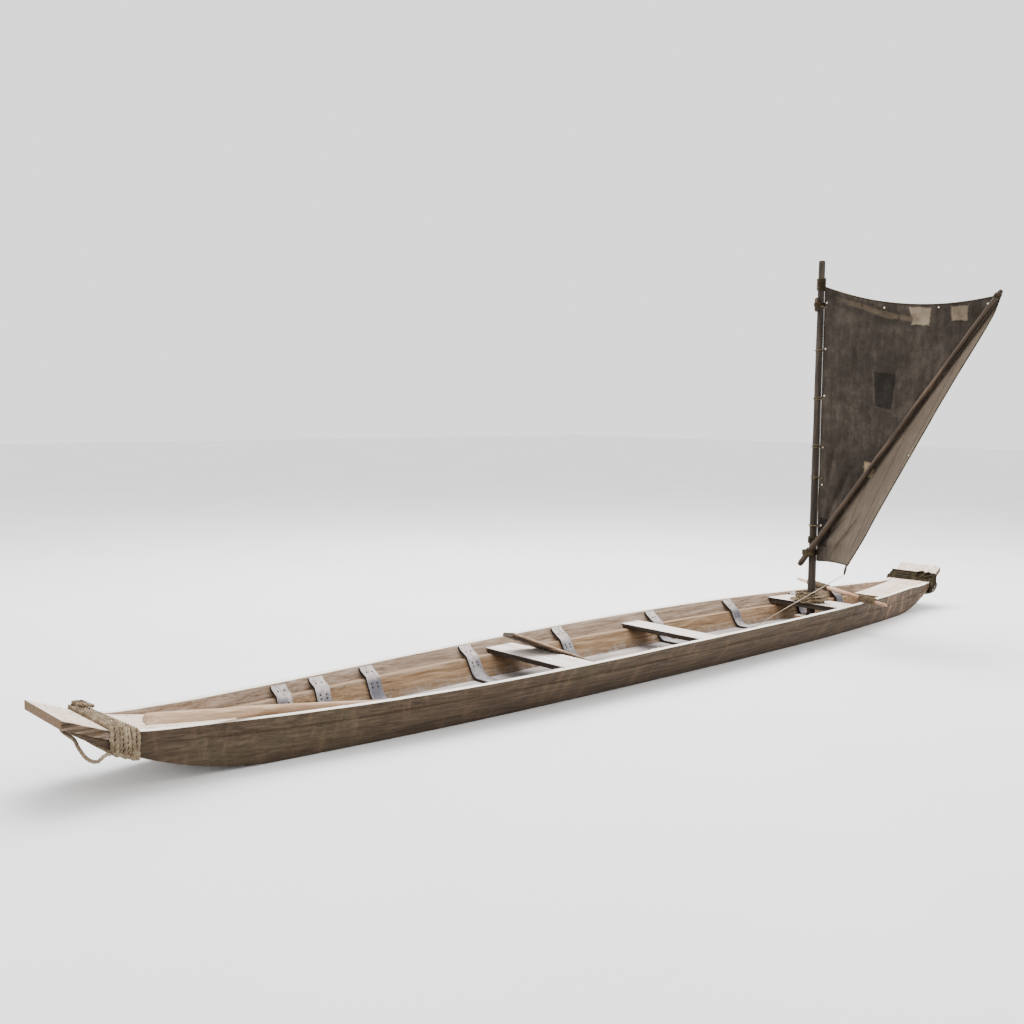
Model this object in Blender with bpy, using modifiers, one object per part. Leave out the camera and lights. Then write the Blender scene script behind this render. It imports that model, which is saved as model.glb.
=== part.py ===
"""Long flat-bottomed plank boat with a sprit sail, a loose oar and rope lashings.

Metres. +X is the bow, +Y is port, +Z is up. The origin is the middle of the flat bottom.
Distances called "along" run from the stern tip, so that the tables read like a drawing.
"""
import math

import bmesh
import bpy
from mathutils import Matrix, Vector

COLLECTION_NAME = "Plank_Sailing_Boat"
HULL_LENGTH = 7.0
GAP = 0.0003
SIDE_GAP = 0.0009
SHIFT = Vector((-HULL_LENGTH / 2, 0.0, 0.0))

# Hull shape: along, gunwale half breadth, gunwale height, chine half breadth, lap height
HULL_TABLE = (
    (0.04, 0.200, 0.345, 0.194, 0.304),
    (0.18, 0.201, 0.290, 0.192, 0.250),
    (0.31, 0.203, 0.251, 0.192, 0.212),
    (0.60, 0.232, 0.233, 0.200, 0.176),
    (1.00, 0.289, 0.218, 0.227, 0.155),
    (1.50, 0.358, 0.210, 0.267, 0.149),
    (2.00, 0.410, 0.209, 0.296, 0.145),
    (2.75, 0.452, 0.214, 0.315, 0.142),
    (3.50, 0.463, 0.220, 0.318, 0.140),
    (4.25, 0.451, 0.220, 0.313, 0.138),
    (5.00, 0.412, 0.215, 0.295, 0.135),
    (5.50, 0.362, 0.209, 0.267, 0.130),
    (6.00, 0.289, 0.204, 0.224, 0.123),
    (6.45, 0.211, 0.201, 0.176, 0.128),
    (6.80, 0.176, 0.208, 0.160, 0.166),
    (6.96, 0.171, 0.300, 0.158, 0.262),
)
STERN_RISE = {"height": 0.314, "reach": 1.0, "power": 2.15}
BOW_RISE = {"height": 0.275, "reach": 0.7, "power": 2.2}

UPPER_WIDTH = 0.042
LOWER_WIDTH = 0.080
LAP_PROUD = 0.006
BOTTOM_THICK = 0.034
CENTRE_PLANK_SHARE = 0.38
UPPER_ENDS = (0.31, 6.80)
LOWER_ENDS = (0.04, 6.96)
BOTTOM_ENDS = (0.18, 6.74)
BLOCK_ENDS = (0.05, 6.95)
# The planks are butted where the bottom begins to rise
BUTTS = (1.0, 6.30)
STATIONS = (
    [0.04, 0.08, 0.13, 0.18, 0.24, 0.31, 0.38, 0.46, 0.54, 0.62, 0.71, 0.80, 0.90, 1.0]
    + [1.0 + 0.25 * k for k in range(1, 22)]
    + [6.38, 6.46, 6.55, 6.64, 6.74, 6.80, 6.85, 6.90, 6.96]
)

# End boards: along, height of the top face
STERN_BOARD = (
    (0.0, 0.356),
    (0.09, 0.320),
    (0.18, 0.284),
    (0.27, 0.257),
    (0.36, 0.236),
    (0.60, 0.190),
    (0.90, 0.135),
)
BOW_BOARD = (
    (6.30, 0.135),
    (6.55, 0.166),
    (6.72, 0.187),
    (6.80, 0.204),
    (6.86, 0.231),
    (6.93, 0.276),
    (7.0, 0.320),
)
BOARD_THICK = 0.042
STERN_TIP_HALF = 0.202
BOW_TIP_HALF = 0.171

# Bent frames: along
FRAMES = (1.220, 1.453, 1.784, 2.500, 3.253, 4.114, 4.906, 5.621, 6.062)
FRAME_WIDE = 0.085
FRAME_THICK = 0.016

# Seats: name, aft edge, forward edge, thickness
THWARTS = (
    ("aft_thwart", 2.661, 2.877, 0.030),
    ("middle_thwart", 3.833, 4.000, 0.030),
)
MAST_THWART = {"aft": 5.360, "fore": 5.575, "top": 0.184, "thick": 0.036}

MAST_ALONG = 5.430
MAST_TOP = 2.605
MAST_FOOT_RADIUS = 0.0290
MAST_TOP_RADIUS = 0.0225
MAST_BORE = 0.0340
STEP_SIZE = (0.190, 0.150, 0.055)
STEP_DEPTH = 0.035

SPRIT_FOOT = Vector((5.374, 0.070, 0.452))
SPRIT_HEAD = Vector((5.452, -1.275, 2.315))
SPRIT_RADII = (0.021, 0.016)

COLOURS = {
    "side": (0.20, 0.14, 0.09),
    "inside": (0.36, 0.24, 0.16),
    "board": (0.52, 0.38, 0.26),
    "frame": (0.36, 0.33, 0.34),
    "pole": (0.17, 0.12, 0.09),
    "sail": (0.32, 0.27, 0.21),
    "rope": (0.42, 0.34, 0.22),
}


def material(name, colour, roughness=0.8):
    mat = bpy.data.materials.new(name)
    mat.use_nodes = True
    shader = mat.node_tree.nodes["Principled BSDF"]
    shader.inputs["Base Color"].default_value = (*colour, 1.0)
    shader.inputs["Roughness"].default_value = roughness
    return mat


def add_object(name, mesh, colour, collection):
    obj = bpy.data.objects.new(name, mesh)
    collection.objects.link(obj)
    mesh.materials.append(material(name, COLOURS[colour]))
    return obj


def interpolate(table, along, column):
    """Straight-line value of one column of a table whose first column is along."""
    if along <= table[0][0]:
        return table[0][column]
    for low, high in zip(table, table[1:]):
        if along <= high[0]:
            share = (along - low[0]) / (high[0] - low[0])
            return low[column] + share * (high[column] - low[column])
    return table[-1][column]


def fair(table, along, column):
    """Cubic curve through one column of a table, with slopes from the neighbours."""
    last = len(table) - 1
    k = 0
    while k < last - 1 and along > table[k + 1][0]:
        k += 1

    def slope(i):
        a = max(i - 1, 0)
        b = min(i + 1, last)
        return (table[b][column] - table[a][column]) / (table[b][0] - table[a][0])

    x0, x1 = table[k][0], table[k + 1][0]
    y0, y1 = table[k][column], table[k + 1][column]
    run = x1 - x0
    t = (along - x0) / run
    curve = (2 * t**3 - 3 * t**2 + 1) * y0 + (3 * t**2 - 2 * t**3) * y1
    return curve + (t**3 - 2 * t**2 + t) * run * slope(k) + (t**3 - t**2) * run * slope(k + 1)


def bottom_height(along):
    """The bottom is flat amidships and curves up to both ends."""
    aft = max(0.0, (STERN_RISE["reach"] - along) / STERN_RISE["reach"])
    fore = max(0.0, (along - HULL_LENGTH + BOW_RISE["reach"]) / BOW_RISE["reach"])
    rise = STERN_RISE["height"] * aft ** STERN_RISE["power"]
    return rise + BOW_RISE["height"] * fore ** BOW_RISE["power"]


SECTIONS = [
    (
        along,
        fair(HULL_TABLE, along, 1),
        fair(HULL_TABLE, along, 2),
        fair(HULL_TABLE, along, 3),
        fair(HULL_TABLE, along, 4),
        bottom_height(along),
    )
    for along in STATIONS
]


class Section:
    """Cross section of the hull at one distance along, port half."""

    def __init__(self, along):
        self.along = along
        self.gunwale_y = interpolate(SECTIONS, along, 1)
        self.gunwale_z = interpolate(SECTIONS, along, 2)
        self.chine_y = interpolate(SECTIONS, along, 3)
        self.lap_z = interpolate(SECTIONS, along, 4)
        self.chine_z = interpolate(SECTIONS, along, 5)
        self.lower_top_y = self.outer(self.lap_z) - LOWER_WIDTH
        self.lower_foot_y = self.chine_y - LOWER_WIDTH

    def outer(self, z):
        share = (z - self.chine_z) / (self.gunwale_z - self.chine_z)
        return self.chine_y + share * (self.gunwale_y - self.chine_y)

    def upper_inner(self, z):
        return self.outer(z) - UPPER_WIDTH

    def lower_inner(self, z):
        share = (z - self.chine_z) / (self.lap_z - self.chine_z)
        return self.lower_foot_y + share * (self.lower_top_y - self.lower_foot_y)


def board_top(table, along):
    return interpolate(table, along, 1)


def span(start, stop, board=()):
    """The stations from start to stop, both included, with an end board's own bends."""
    marks = sorted(set(STATIONS) | {row[0] for row in board})
    return [start] + [m for m in marks if start + 1e-6 < m < stop - 1e-6] + [stop]


def build_loft(name, rings, colour, collection, bulge=None, closed=False):
    """Skin rings of equal point counts. bulge +1 or -1 splits warped quads outboard or inboard."""
    bm = bmesh.new()
    rows = [[bm.verts.new(Vector(p) + SHIFT) for p in ring] for ring in rings]
    count = len(rows[0])
    pairs = list(zip(rows, rows[1:]))
    if closed:
        pairs.append((rows[-1], rows[0]))
    for low, high in pairs:
        for k in range(count):
            n = (k + 1) % count
            quad = (low[k], low[n], high[n], high[k])
            if bulge is None:
                bm.faces.new(quad)
                continue
            first = abs(quad[0].co.y + quad[2].co.y) * bulge
            second = abs(quad[1].co.y + quad[3].co.y) * bulge
            turn = 0 if first >= second else 1
            a, b, c, d = quad[turn:] + quad[:turn]
            bm.faces.new((a, b, c))
            bm.faces.new((a, c, d))
    if not closed:
        bm.faces.new(rows[0])
        bm.faces.new(rows[-1])
    bmesh.ops.recalc_face_normals(bm, faces=bm.faces)
    mesh = bpy.data.meshes.new(name)
    bm.to_mesh(mesh)
    bm.free()
    return add_object(name, mesh, colour, collection)


def mirrored(points, side):
    return [(x, side * y, z) for x, y, z in points]


def plank_runs(ends):
    """The three lengths of a plank that runs the whole hull, end to end with a hair's gap."""
    aft, fore = BUTTS
    half = GAP / 2
    return (
        ("aft", ends[0], aft - half),
        ("middle", aft + half, fore - half),
        ("fore", fore + half, ends[1]),
    )


def build_upper_strake(name, start, stop, side, collection):
    rings = []
    for along in span(start, stop):
        cut = Section(along)
        low = cut.lap_z + GAP
        ring = (
            (along, cut.outer(low), low),
            (along, cut.gunwale_y, cut.gunwale_z),
            (along, cut.gunwale_y - UPPER_WIDTH, cut.gunwale_z),
            (along, cut.upper_inner(low), low),
        )
        rings.append(mirrored(ring, side))
    return build_loft(name, rings, "side", collection, bulge=1)


def build_lower_strake(name, start, stop, side, collection):
    rings = []
    for along in span(start, stop):
        cut = Section(along)
        height = cut.lap_z - cut.chine_z
        chamfer = min(0.010, 0.3 * height)
        ring = (
            (along, cut.chine_y, cut.chine_z),
            (along, cut.outer(cut.lap_z) + LAP_PROUD, cut.lap_z - chamfer),
            (along, cut.outer(cut.lap_z), cut.lap_z),
            (along, cut.lower_top_y, cut.lap_z),
            (along, cut.lower_foot_y, cut.chine_z),
        )
        rings.append(mirrored(ring, side))
    return build_loft(name, rings, "side", collection, bulge=1)


def slab_ring(along, half_low, low, half_high, high):
    """A section of a board that lies across the centreline."""
    feet = ((along, -half_low, low), (along, half_low, low))
    return feet + ((along, half_high, high), (along, -half_high, high))


def bottom_ring(along, share_in, share_out, side):
    """One bottom plank's section between two shares of the width between the strakes."""
    cut = Section(along)
    top_z = cut.chine_z + BOTTOM_THICK
    foot = cut.lower_inner(cut.chine_z) - SIDE_GAP
    head = cut.lower_inner(top_z) - SIDE_GAP
    inner = share_in * foot + (GAP if share_in > 0 else 0.0)
    outer_foot = share_out * foot if share_out < 1 else foot
    outer_head = share_out * foot if share_out < 1 else head
    if side == 0:
        half = CENTRE_PLANK_SHARE * foot
        return slab_ring(along, half, cut.chine_z, half, top_z)
    ring = (
        (along, inner, cut.chine_z),
        (along, outer_foot, cut.chine_z),
        (along, outer_head, top_z),
        (along, inner, top_z),
    )
    return mirrored(ring, side)


def build_bottom(collection):
    aft, middle, fore = plank_runs(BOTTOM_ENDS)
    for plank, side in (("port", 1), ("centre", 0), ("starboard", -1)):
        name = f"bottom_plank_{plank}"
        rings = [bottom_ring(along, CENTRE_PLANK_SHARE, 1.0, side) for along in span(*middle[1:])]
        build_loft(name, rings, "inside", collection, bulge=-1)
    for end, start, stop in (aft, fore):
        rings = []
        for along in span(start, stop):
            cut = Section(along)
            top_z = cut.chine_z + BOTTOM_THICK
            foot = cut.lower_inner(cut.chine_z) - SIDE_GAP
            head = cut.lower_inner(top_z) - SIDE_GAP
            rings.append(slab_ring(along, foot, cut.chine_z, head, top_z))
        build_loft(f"bottom_{end}", rings, "inside", collection, bulge=-1)


def build_end_block(name, start, stop, board, collection):
    """The block that closes the hull's end under the end board."""
    rings = []
    for along in span(start, stop, board):
        cut = Section(along)
        top_z = board_top(board, along) - BOARD_THICK - GAP
        foot = cut.lower_inner(cut.chine_z) - SIDE_GAP
        head = cut.lower_inner(top_z) - SIDE_GAP
        rings.append(slab_ring(along, foot, cut.chine_z, head, top_z))
    return build_loft(name, rings, "inside", collection, bulge=-1)


def board_rings(board, spread=-0.001, drop=0.0, lift=0.0, wide_extra=0.0):
    """The end board's sections: full width past the upper strakes, between them further in."""
    aft = board is STERN_BOARD
    edge = UPPER_ENDS[0] if aft else UPPER_ENDS[1]
    tip = 0.0 if aft else HULL_LENGTH
    tip_half = STERN_TIP_HALF if aft else BOW_TIP_HALF
    inward = 1 if aft else -1
    marks = span(board[0][0], board[-1][0], board)
    wide = [m for m in marks if (edge - m) * inward > 0.001] + [edge - 2 * GAP * inward]
    narrow = [m for m in marks if (m - edge) * inward > 0.001] + [edge - GAP * inward]
    rings = []
    for along in sorted(wide + narrow):
        cut = Section(along)
        low = board_top(board, along) - BOARD_THICK - drop
        high = board_top(board, along) + lift
        half_low = cut.upper_inner(low) + spread
        half_high = cut.upper_inner(high) + spread
        if along in wide:
            half_low = tip_half if abs(along - tip) < 0.03 else max(tip_half, cut.gunwale_y)
            half_low += wide_extra
            half_high = half_low
        rings.append(slab_ring(along, half_low, low, half_high, high))
    return rings


def build_end_board(name, board, collection):
    return build_loft(name, board_rings(board), "board", collection, bulge=-1)


def build_board_cutter(name, board, cutters):
    """The room for an end board in the lower strakes, with a shallow notch past its edge."""
    rings = board_rings(board, spread=-GAP, drop=GAP, lift=0.10, wide_extra=0.05)
    notch = 0.010
    if board is STERN_BOARD:
        rings[0] = tuple((x - notch, y, z) for x, y, z in rings[0])
        rings.append(tuple((x + notch, y, z) for x, y, z in rings[-1]))
    else:
        rings[-1] = tuple((x + notch, y, z) for x, y, z in rings[-1])
        rings.insert(0, tuple((x - notch, y, z) for x, y, z in rings[0]))
    cutter = build_loft(name, rings, "board", cutters, bulge=1)
    cutter.hide_render = True
    cutter.display_type = "WIRE"
    return cutter


def cut_with(obj, cutter):
    mod = obj.modifiers.new("Cut", "BOOLEAN")
    mod.operation = "DIFFERENCE"
    mod.solver = "EXACT"
    mod.object = cutter


def frame_path(along):
    """The line that a bent frame's back follows on the port side, gunwale to keel line."""
    cut = Section(along)
    floor = cut.chine_z + BOTTOM_THICK + GAP
    top = cut.gunwale_z - 0.012
    ledge = cut.lap_z + 0.004
    knee = floor + 0.030
    return (
        (cut.upper_inner(top) - 0.0008, top),
        (cut.upper_inner(top - 0.020) - 0.003, top - 0.020),
        (cut.lower_top_y - 0.0012, ledge),
        (cut.lower_inner(knee) - 0.0012, knee),
        (cut.lower_inner(floor + 0.006) - 0.014, floor + 0.006),
        (cut.lower_inner(floor) - 0.034, floor),
    )


def offset_line(points, distance):
    """The open line moved to its left side by distance, with mitred corners."""
    moved = []
    for k, (y, z) in enumerate(points):
        normals = []
        for a, b in ((k - 1, k), (k, k + 1)):
            if a >= 0 and b < len(points):
                dy = points[b][0] - points[a][0]
                dz = points[b][1] - points[a][1]
                size = math.hypot(dy, dz)
                normals.append((-dz / size, dy / size))
        ny = sum(n[0] for n in normals)
        nz = sum(n[1] for n in normals)
        size = math.hypot(ny, nz)
        ny /= size
        nz /= size
        reach = distance / (ny * normals[0][0] + nz * normals[0][1])
        moved.append((y + ny * reach, z + nz * reach))
    return moved


def frame_ring(along):
    port = list(frame_path(along))
    back = port + [(-y, z) for y, z in reversed(port)]
    face = offset_line(back, -FRAME_THICK)
    return [(along, y, z) for y, z in back + list(reversed(face))]


def build_frames(collection):
    for number, along in enumerate(FRAMES, start=1):
        rings = [frame_ring(along - FRAME_WIDE / 2), frame_ring(along + FRAME_WIDE / 2)]
        build_loft(f"frame_{number}", rings, "frame", collection)


def build_thwart(name, aft, fore, low, thick, collection, colour="board"):
    """A seat board whose ends follow the upper strakes."""
    rings = []
    for along in (aft, fore):
        cut = Section(along)
        foot = cut.upper_inner(low) - 0.001
        head = cut.upper_inner(low + thick) - 0.001
        rings.append(slab_ring(along, foot, low, head, low + thick))
    return build_loft(name, rings, colour, collection)


def ledge_height(aft, fore):
    return max(Section(aft).lap_z, Section(fore).lap_z)


def build_thwarts(collection, cutters):
    for name, aft, fore, thick in THWARTS:
        build_thwart(name, aft, fore, ledge_height(aft, fore) + GAP, thick, collection)
    seat = MAST_THWART
    low = seat["top"] - seat["thick"]
    thwart = build_thwart("mast_thwart", seat["aft"], seat["fore"], low, seat["thick"], collection)
    bore = build_cylinder("mast_thwart_bore", MAST_BORE, low - 0.02, seat["top"] + 0.02, cutters)
    cut_with(thwart, bore)
    for name, side in (("mast_thwart_cleat_port", 1), ("mast_thwart_cleat_starboard", -1)):
        build_cleat(name, side, seat, collection)


def build_cleat(name, side, seat, collection):
    """A block on the ledge that carries the mast thwart's end."""
    aft = seat["aft"] + 0.02
    fore = seat["fore"] - 0.02
    low = ledge_height(aft, fore) + GAP
    high = seat["top"] - seat["thick"] - GAP
    rings = []
    for along in (aft, fore):
        cut = Section(along)
        foot = cut.upper_inner(low) - 0.001
        head = cut.upper_inner(high) - 0.001
        inner = cut.lower_top_y + 0.004
        ring = ((along, inner, low), (along, foot, low), (along, head, high), (along, inner, high))
        rings.append(mirrored(ring, side))
    return build_loft(name, rings, "inside", collection)


def build_cylinder(name, radius, low, high, cutters):
    """An upright cutter on the mast's axis."""
    bm = bmesh.new()
    height = high - low
    bmesh.ops.create_cone(bm, cap_ends=True, segments=24, radius1=radius, radius2=radius, depth=height)
    mesh = bpy.data.meshes.new(name)
    bm.to_mesh(mesh)
    bm.free()
    cutter = add_object(name, mesh, "board", cutters)
    cutter.location = SHIFT + Vector((MAST_ALONG, 0.0, (low + high) / 2))
    cutter.hide_render = True
    cutter.display_type = "WIRE"
    return cutter


def build_mast_step(collection, cutters):
    floor = BOTTOM_THICK + GAP
    bm = bmesh.new()
    bmesh.ops.create_cube(bm, size=1.0)
    bmesh.ops.scale(bm, vec=STEP_SIZE, verts=bm.verts)
    mesh = bpy.data.meshes.new("mast_step")
    bm.to_mesh(mesh)
    bm.free()
    step = add_object("mast_step", mesh, "inside", collection)
    step.location = SHIFT + Vector((MAST_ALONG, 0.0, floor + STEP_SIZE[2] / 2))
    top = floor + STEP_SIZE[2]
    socket = build_cylinder("mast_step_socket", MAST_BORE, top - STEP_DEPTH, top + 0.02, cutters)
    cut_with(step, socket)
    return top - STEP_DEPTH + GAP


def ring_points(centre, side_axis, other_axis, half_wide, half_thick, sides):
    points = []
    for k in range(sides):
        angle = 2 * math.pi * k / sides
        across = side_axis * half_wide * math.cos(angle)
        points.append(centre + across + other_axis * half_thick * math.sin(angle))
    return points


def build_round(name, nodes, sides, colour, collection, up=Vector((0.0, 0.0, 1.0))):
    """A pole along nodes of (point, half width, half thickness)."""
    rings = []
    last = len(nodes) - 1
    for k, (point, half_wide, half_thick) in enumerate(nodes):
        ahead = nodes[min(k + 1, last)][0] - nodes[max(k - 1, 0)][0]
        ahead.normalize()
        side_axis = ahead.cross(up).normalized()
        other_axis = side_axis.cross(ahead)
        rings.append(ring_points(point, side_axis, other_axis, half_wide, half_thick, sides))
    return build_loft(name, rings, colour, collection)


def mast_radius(z):
    return MAST_FOOT_RADIUS + (MAST_TOP_RADIUS - MAST_FOOT_RADIUS) * z / MAST_TOP


def build_mast(foot, collection, rig):
    nodes = []
    for z in (foot, 0.5, 1.2, 1.9, MAST_TOP - 0.006, MAST_TOP):
        radius = mast_radius(z) - (0.006 if z == MAST_TOP else 0.0)
        nodes.append((Vector((MAST_ALONG, 0.0, z)), radius, radius))
    mast = build_round("mast", nodes, 16, "pole", collection, up=Vector((1.0, 0.0, 0.0)))
    mast.parent = rig


def build_sleeve(name, centre, axis, length, inner, outer, colour, collection, sides=16):
    """A band with a round hole, such as the turns of a lashing."""
    axis = axis.normalized()
    helper = Vector((0.0, 0.0, 1.0)) if abs(axis.z) < 0.9 else Vector((1.0, 0.0, 0.0))
    side_axis = axis.cross(helper).normalized()
    other_axis = side_axis.cross(axis)
    start = centre - axis * length / 2
    stop = centre + axis * length / 2
    soft = min(0.2 * length, 0.4 * (outer - inner))
    rings = []
    for k in range(sides):
        angle = 2 * math.pi * k / sides
        out = side_axis * math.cos(angle) + other_axis * math.sin(angle)
        rings.append(
            (
                start + out * inner,
                start + out * (outer - soft),
                start + axis * soft + out * outer,
                stop - axis * soft + out * outer,
                stop + out * (outer - soft),
                stop + out * inner,
            )
        )
    return build_loft(name, rings, colour, collection, closed=True)


def build_rig(collection, cutters):
    """The mast with what turns on it: sail, sprit and lashings."""
    rig = bpy.data.objects.new("rig_axis", None)
    rig.location = SHIFT + Vector((MAST_ALONG, 0.0, 0.0))
    collection.objects.link(rig)
    foot = build_mast_step(collection, cutters)
    build_mast(foot, collection, rig)
    upright = Vector((0.0, 0.0, 1.0))
    for name, z, length in (("masthead_lashing", 2.44, 0.095), ("tack_lashing", 0.635, 0.060)):
        inner = mast_radius(z - length / 2) + 0.0006
        centre = Vector((MAST_ALONG, 0.0, z))
        build_sleeve(name, centre, upright, length, inner, inner + 0.009, "rope", collection).parent = rig
    build_sprit(collection).parent = rig
    build_sprit_lashing(collection).parent = rig
    build_sail(collection).parent = rig
    build_clew_toggle(collection).parent = rig
    for obj in collection.objects:
        if obj.parent is rig:
            obj.location -= rig.location


def sprit_point(z):
    share = (z - SPRIT_FOOT.z) / (SPRIT_HEAD.z - SPRIT_FOOT.z)
    return SPRIT_FOOT.lerp(SPRIT_HEAD, share)


def build_sprit(collection):
    nodes = []
    for share in (0.0, 0.008, 0.33, 0.66, 0.994, 1.0):
        radius = SPRIT_RADII[0] + share * (SPRIT_RADII[1] - SPRIT_RADII[0])
        if share in (0.0, 1.0):
            radius -= 0.005
        nodes.append((SPRIT_FOOT.lerp(SPRIT_HEAD, share), radius, radius))
    return build_round("sprit", nodes, 12, "pole", collection, up=Vector((1.0, 0.0, 0.0)))


LASHING_Z = 0.548
LASHING_HIGH = 0.036


def build_sprit_lashing(collection):
    """An oval band that holds the sprit's foot against the mast."""
    middle = sprit_point(LASHING_Z)
    aft = middle.x - MAST_ALONG
    mast_r = mast_radius(LASHING_Z) + 0.0008
    sprit_r = SPRIT_RADII[0] + 0.0012
    stretch = 1.0 / math.cos(math.atan2(SPRIT_FOOT.y - SPRIT_HEAD.y, SPRIT_HEAD.z - SPRIT_FOOT.z))
    slide = abs(SPRIT_HEAD.y - SPRIT_FOOT.y) / (SPRIT_HEAD.z - SPRIT_FOOT.z) * LASHING_HIGH / 2
    outline = []
    for k in range(9):
        angle = -math.pi / 2 + math.pi * k / 8
        outline.append((mast_r * math.cos(angle), mast_r * math.sin(angle)))
    for k in range(9):
        angle = math.pi / 2 + math.pi * k / 8
        shift = slide if math.sin(angle) > 0 else -slide
        across = middle.y + shift + stretch * sprit_r * math.sin(angle)
        outline.append((aft + sprit_r * math.cos(angle), across))
    centre = sum(p[0] for p in outline) / len(outline), sum(p[1] for p in outline) / len(outline)
    low = LASHING_Z - LASHING_HIGH / 2
    high = LASHING_Z + LASHING_HIGH / 2
    rings = []
    for px, py in outline:
        away = Vector((px - centre[0], py - centre[1], 0.0)).normalized() * 0.009
        inner = Vector((MAST_ALONG + px, py, 0.0))
        rings.append(
            (
                inner + Vector((0.0, 0.0, low)),
                inner + away + Vector((0.0, 0.0, low)),
                inner + away + Vector((0.0, 0.0, high)),
                inner + Vector((0.0, 0.0, high)),
            )
        )
    return build_loft("sprit_lashing", rings, "rope", collection, closed=True)


SAIL_THICK = 0.004
LUFF_Z = (0.490, 2.420)
LUFF_CLEARANCE = 0.0104
# Leech: height, along, half breadth to starboard
LEECH = (
    (0.560, 4.905, 0.600),
    (0.730, 4.925, 0.690),
    (0.900, 4.943, 0.772),
    (1.310, 5.076, 0.931),
    (1.730, 5.240, 1.083),
    (2.150, 5.425, 1.235),
    (2.290, 5.478, 1.262),
)
SAIL_ROWS = 10
SAIL_LUFF_COLUMNS = 3
SAIL_LEECH_COLUMNS = 4
HEAD_SAG = 0.088
SPRIT_CLEARANCE = 0.030


def sail_row(v):
    """Points of one row of the sail, from the luff by the sprit's crease to the leech."""
    luff_z = LUFF_Z[0] + v * (LUFF_Z[1] - LUFF_Z[0])
    leech_z = LEECH[0][0] + v * (LEECH[-1][0] - LEECH[0][0])
    leech_x = interpolate(LEECH, leech_z, 1)
    leech_y = -interpolate(LEECH, leech_z, 2)
    luff = Vector((MAST_ALONG, -(mast_radius(luff_z) + LUFF_CLEARANCE), luff_z))
    crease_z = luff_z + 0.5 * (leech_z - luff_z)
    for _ in range(4):
        share = (luff.y - sprit_point(crease_z).y) / (luff.y - leech_y)
        share = min(max(share, 0.04), 0.985)
        crease_z = luff_z + share * (leech_z - luff_z) - head_sag(v, share)
    crease_y = luff.y + share * (leech_y - luff.y)
    crease = Vector((sprit_point(crease_z).x + SPRIT_CLEARANCE, crease_y, crease_z))
    points = []
    for k in range(SAIL_LUFF_COLUMNS + 1):
        t = k / SAIL_LUFF_COLUMNS
        u = t * share
        z = luff_z + u * (leech_z - luff_z) - head_sag(v, u)
        points.append(Vector((luff.x + t * (crease.x - luff.x), luff.y + t * (crease_y - luff.y), z)))
    for k in range(1, SAIL_LEECH_COLUMNS + 1):
        t = k / SAIL_LEECH_COLUMNS
        u = share + t * (1.0 - share)
        z = luff_z + u * (leech_z - luff_z) - head_sag(v, u)
        x = crease.x + (leech_x - crease.x) * t**1.3
        points.append(Vector((x, crease_y + t * (leech_y - crease_y), z)))
    return points


def head_sag(v, u):
    return HEAD_SAG * v**6 * 4 * u * (1 - u)


def build_sail(collection):
    bm = bmesh.new()
    rows = [[bm.verts.new(p + SHIFT) for p in sail_row(k / SAIL_ROWS)] for k in range(SAIL_ROWS + 1)]
    for low, high in zip(rows, rows[1:]):
        for k in range(len(low) - 1):
            bm.faces.new((low[k], low[k + 1], high[k + 1], high[k]))
    mesh = bpy.data.meshes.new("sail")
    bm.to_mesh(mesh)
    bm.free()
    sail = add_object("sail", mesh, "sail", collection)
    shell = sail.modifiers.new("Cloth", "SOLIDIFY")
    shell.thickness = SAIL_THICK
    shell.offset = 0.0
    return sail


def clew_point():
    return sail_row(0.0)[-1]


def build_clew_toggle(collection):
    clew = clew_point()
    head = clew + Vector((-0.003, 0.005, 0.0004))
    foot = clew + Vector((-0.014, 0.012, -0.060))
    nodes = ((head, 0.006, 0.006), (head.lerp(foot, 0.5), 0.009, 0.009), (foot, 0.006, 0.006))
    return build_round("clew_toggle", nodes, 8, "rope", collection, up=Vector((1.0, 0.0, 0.0)))


def build_loose_board(collection):
    """A board that leans on the aft thwart's forward edge with its foot on the floor."""
    edge_x = THWARTS[0][2]
    edge_z = ledge_height(THWARTS[0][1], THWARTS[0][2]) + GAP + THWARTS[0][3]
    slope = math.radians(23.8)
    heading = math.radians(-26.0)
    length, width, thick = 0.60, 0.20, 0.022
    bm = bmesh.new()
    bmesh.ops.create_cube(bm, size=1.0)
    bmesh.ops.scale(bm, vec=(length, width, thick), verts=bm.verts)
    mesh = bpy.data.meshes.new("loose_board")
    bm.to_mesh(mesh)
    bm.free()
    board = add_object("loose_board", mesh, "board", collection)
    turn = Matrix.Rotation(slope, 4, "Y") @ Matrix.Rotation(heading, 4, "Z")
    middle_x = 2.905
    along_slope = (middle_x - edge_x) / math.cos(slope)
    base = Vector((edge_x, 0.055, edge_z)) + Vector((math.cos(slope), 0.0, -math.sin(slope))) * along_slope
    normal = Vector((math.sin(slope), 0.0, math.cos(slope)))
    board.matrix_world = Matrix.Translation(SHIFT + base + normal * (thick / 2 + 2 * GAP)) @ turn


# Oar: along, to port, height, half width, half thickness
OAR = (
    (0.285, -0.318, 0.332, 0.016, 0.016),
    (0.296, -0.316, 0.330, 0.024, 0.024),
    (0.450, -0.280, 0.3045, 0.025, 0.025),
    (0.660, -0.2335, 0.2685, 0.024, 0.024),
    (0.770, -0.209, 0.2518, 0.024, 0.024),
    (0.880, -0.186, 0.2345, 0.024, 0.024),
    (1.150, -0.138, 0.1880, 0.023, 0.023),
    (1.560, -0.082, 0.1210, 0.023, 0.022),
    (1.700, -0.064, 0.1000, 0.045, 0.018),
    (1.860, -0.043, 0.0780, 0.062, 0.014),
    (2.100, -0.010, 0.0545, 0.065, 0.010),
    (2.200, 0.003, 0.0475, 0.058, 0.008),
    (2.250, 0.010, 0.0445, 0.030, 0.006),
)


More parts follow.
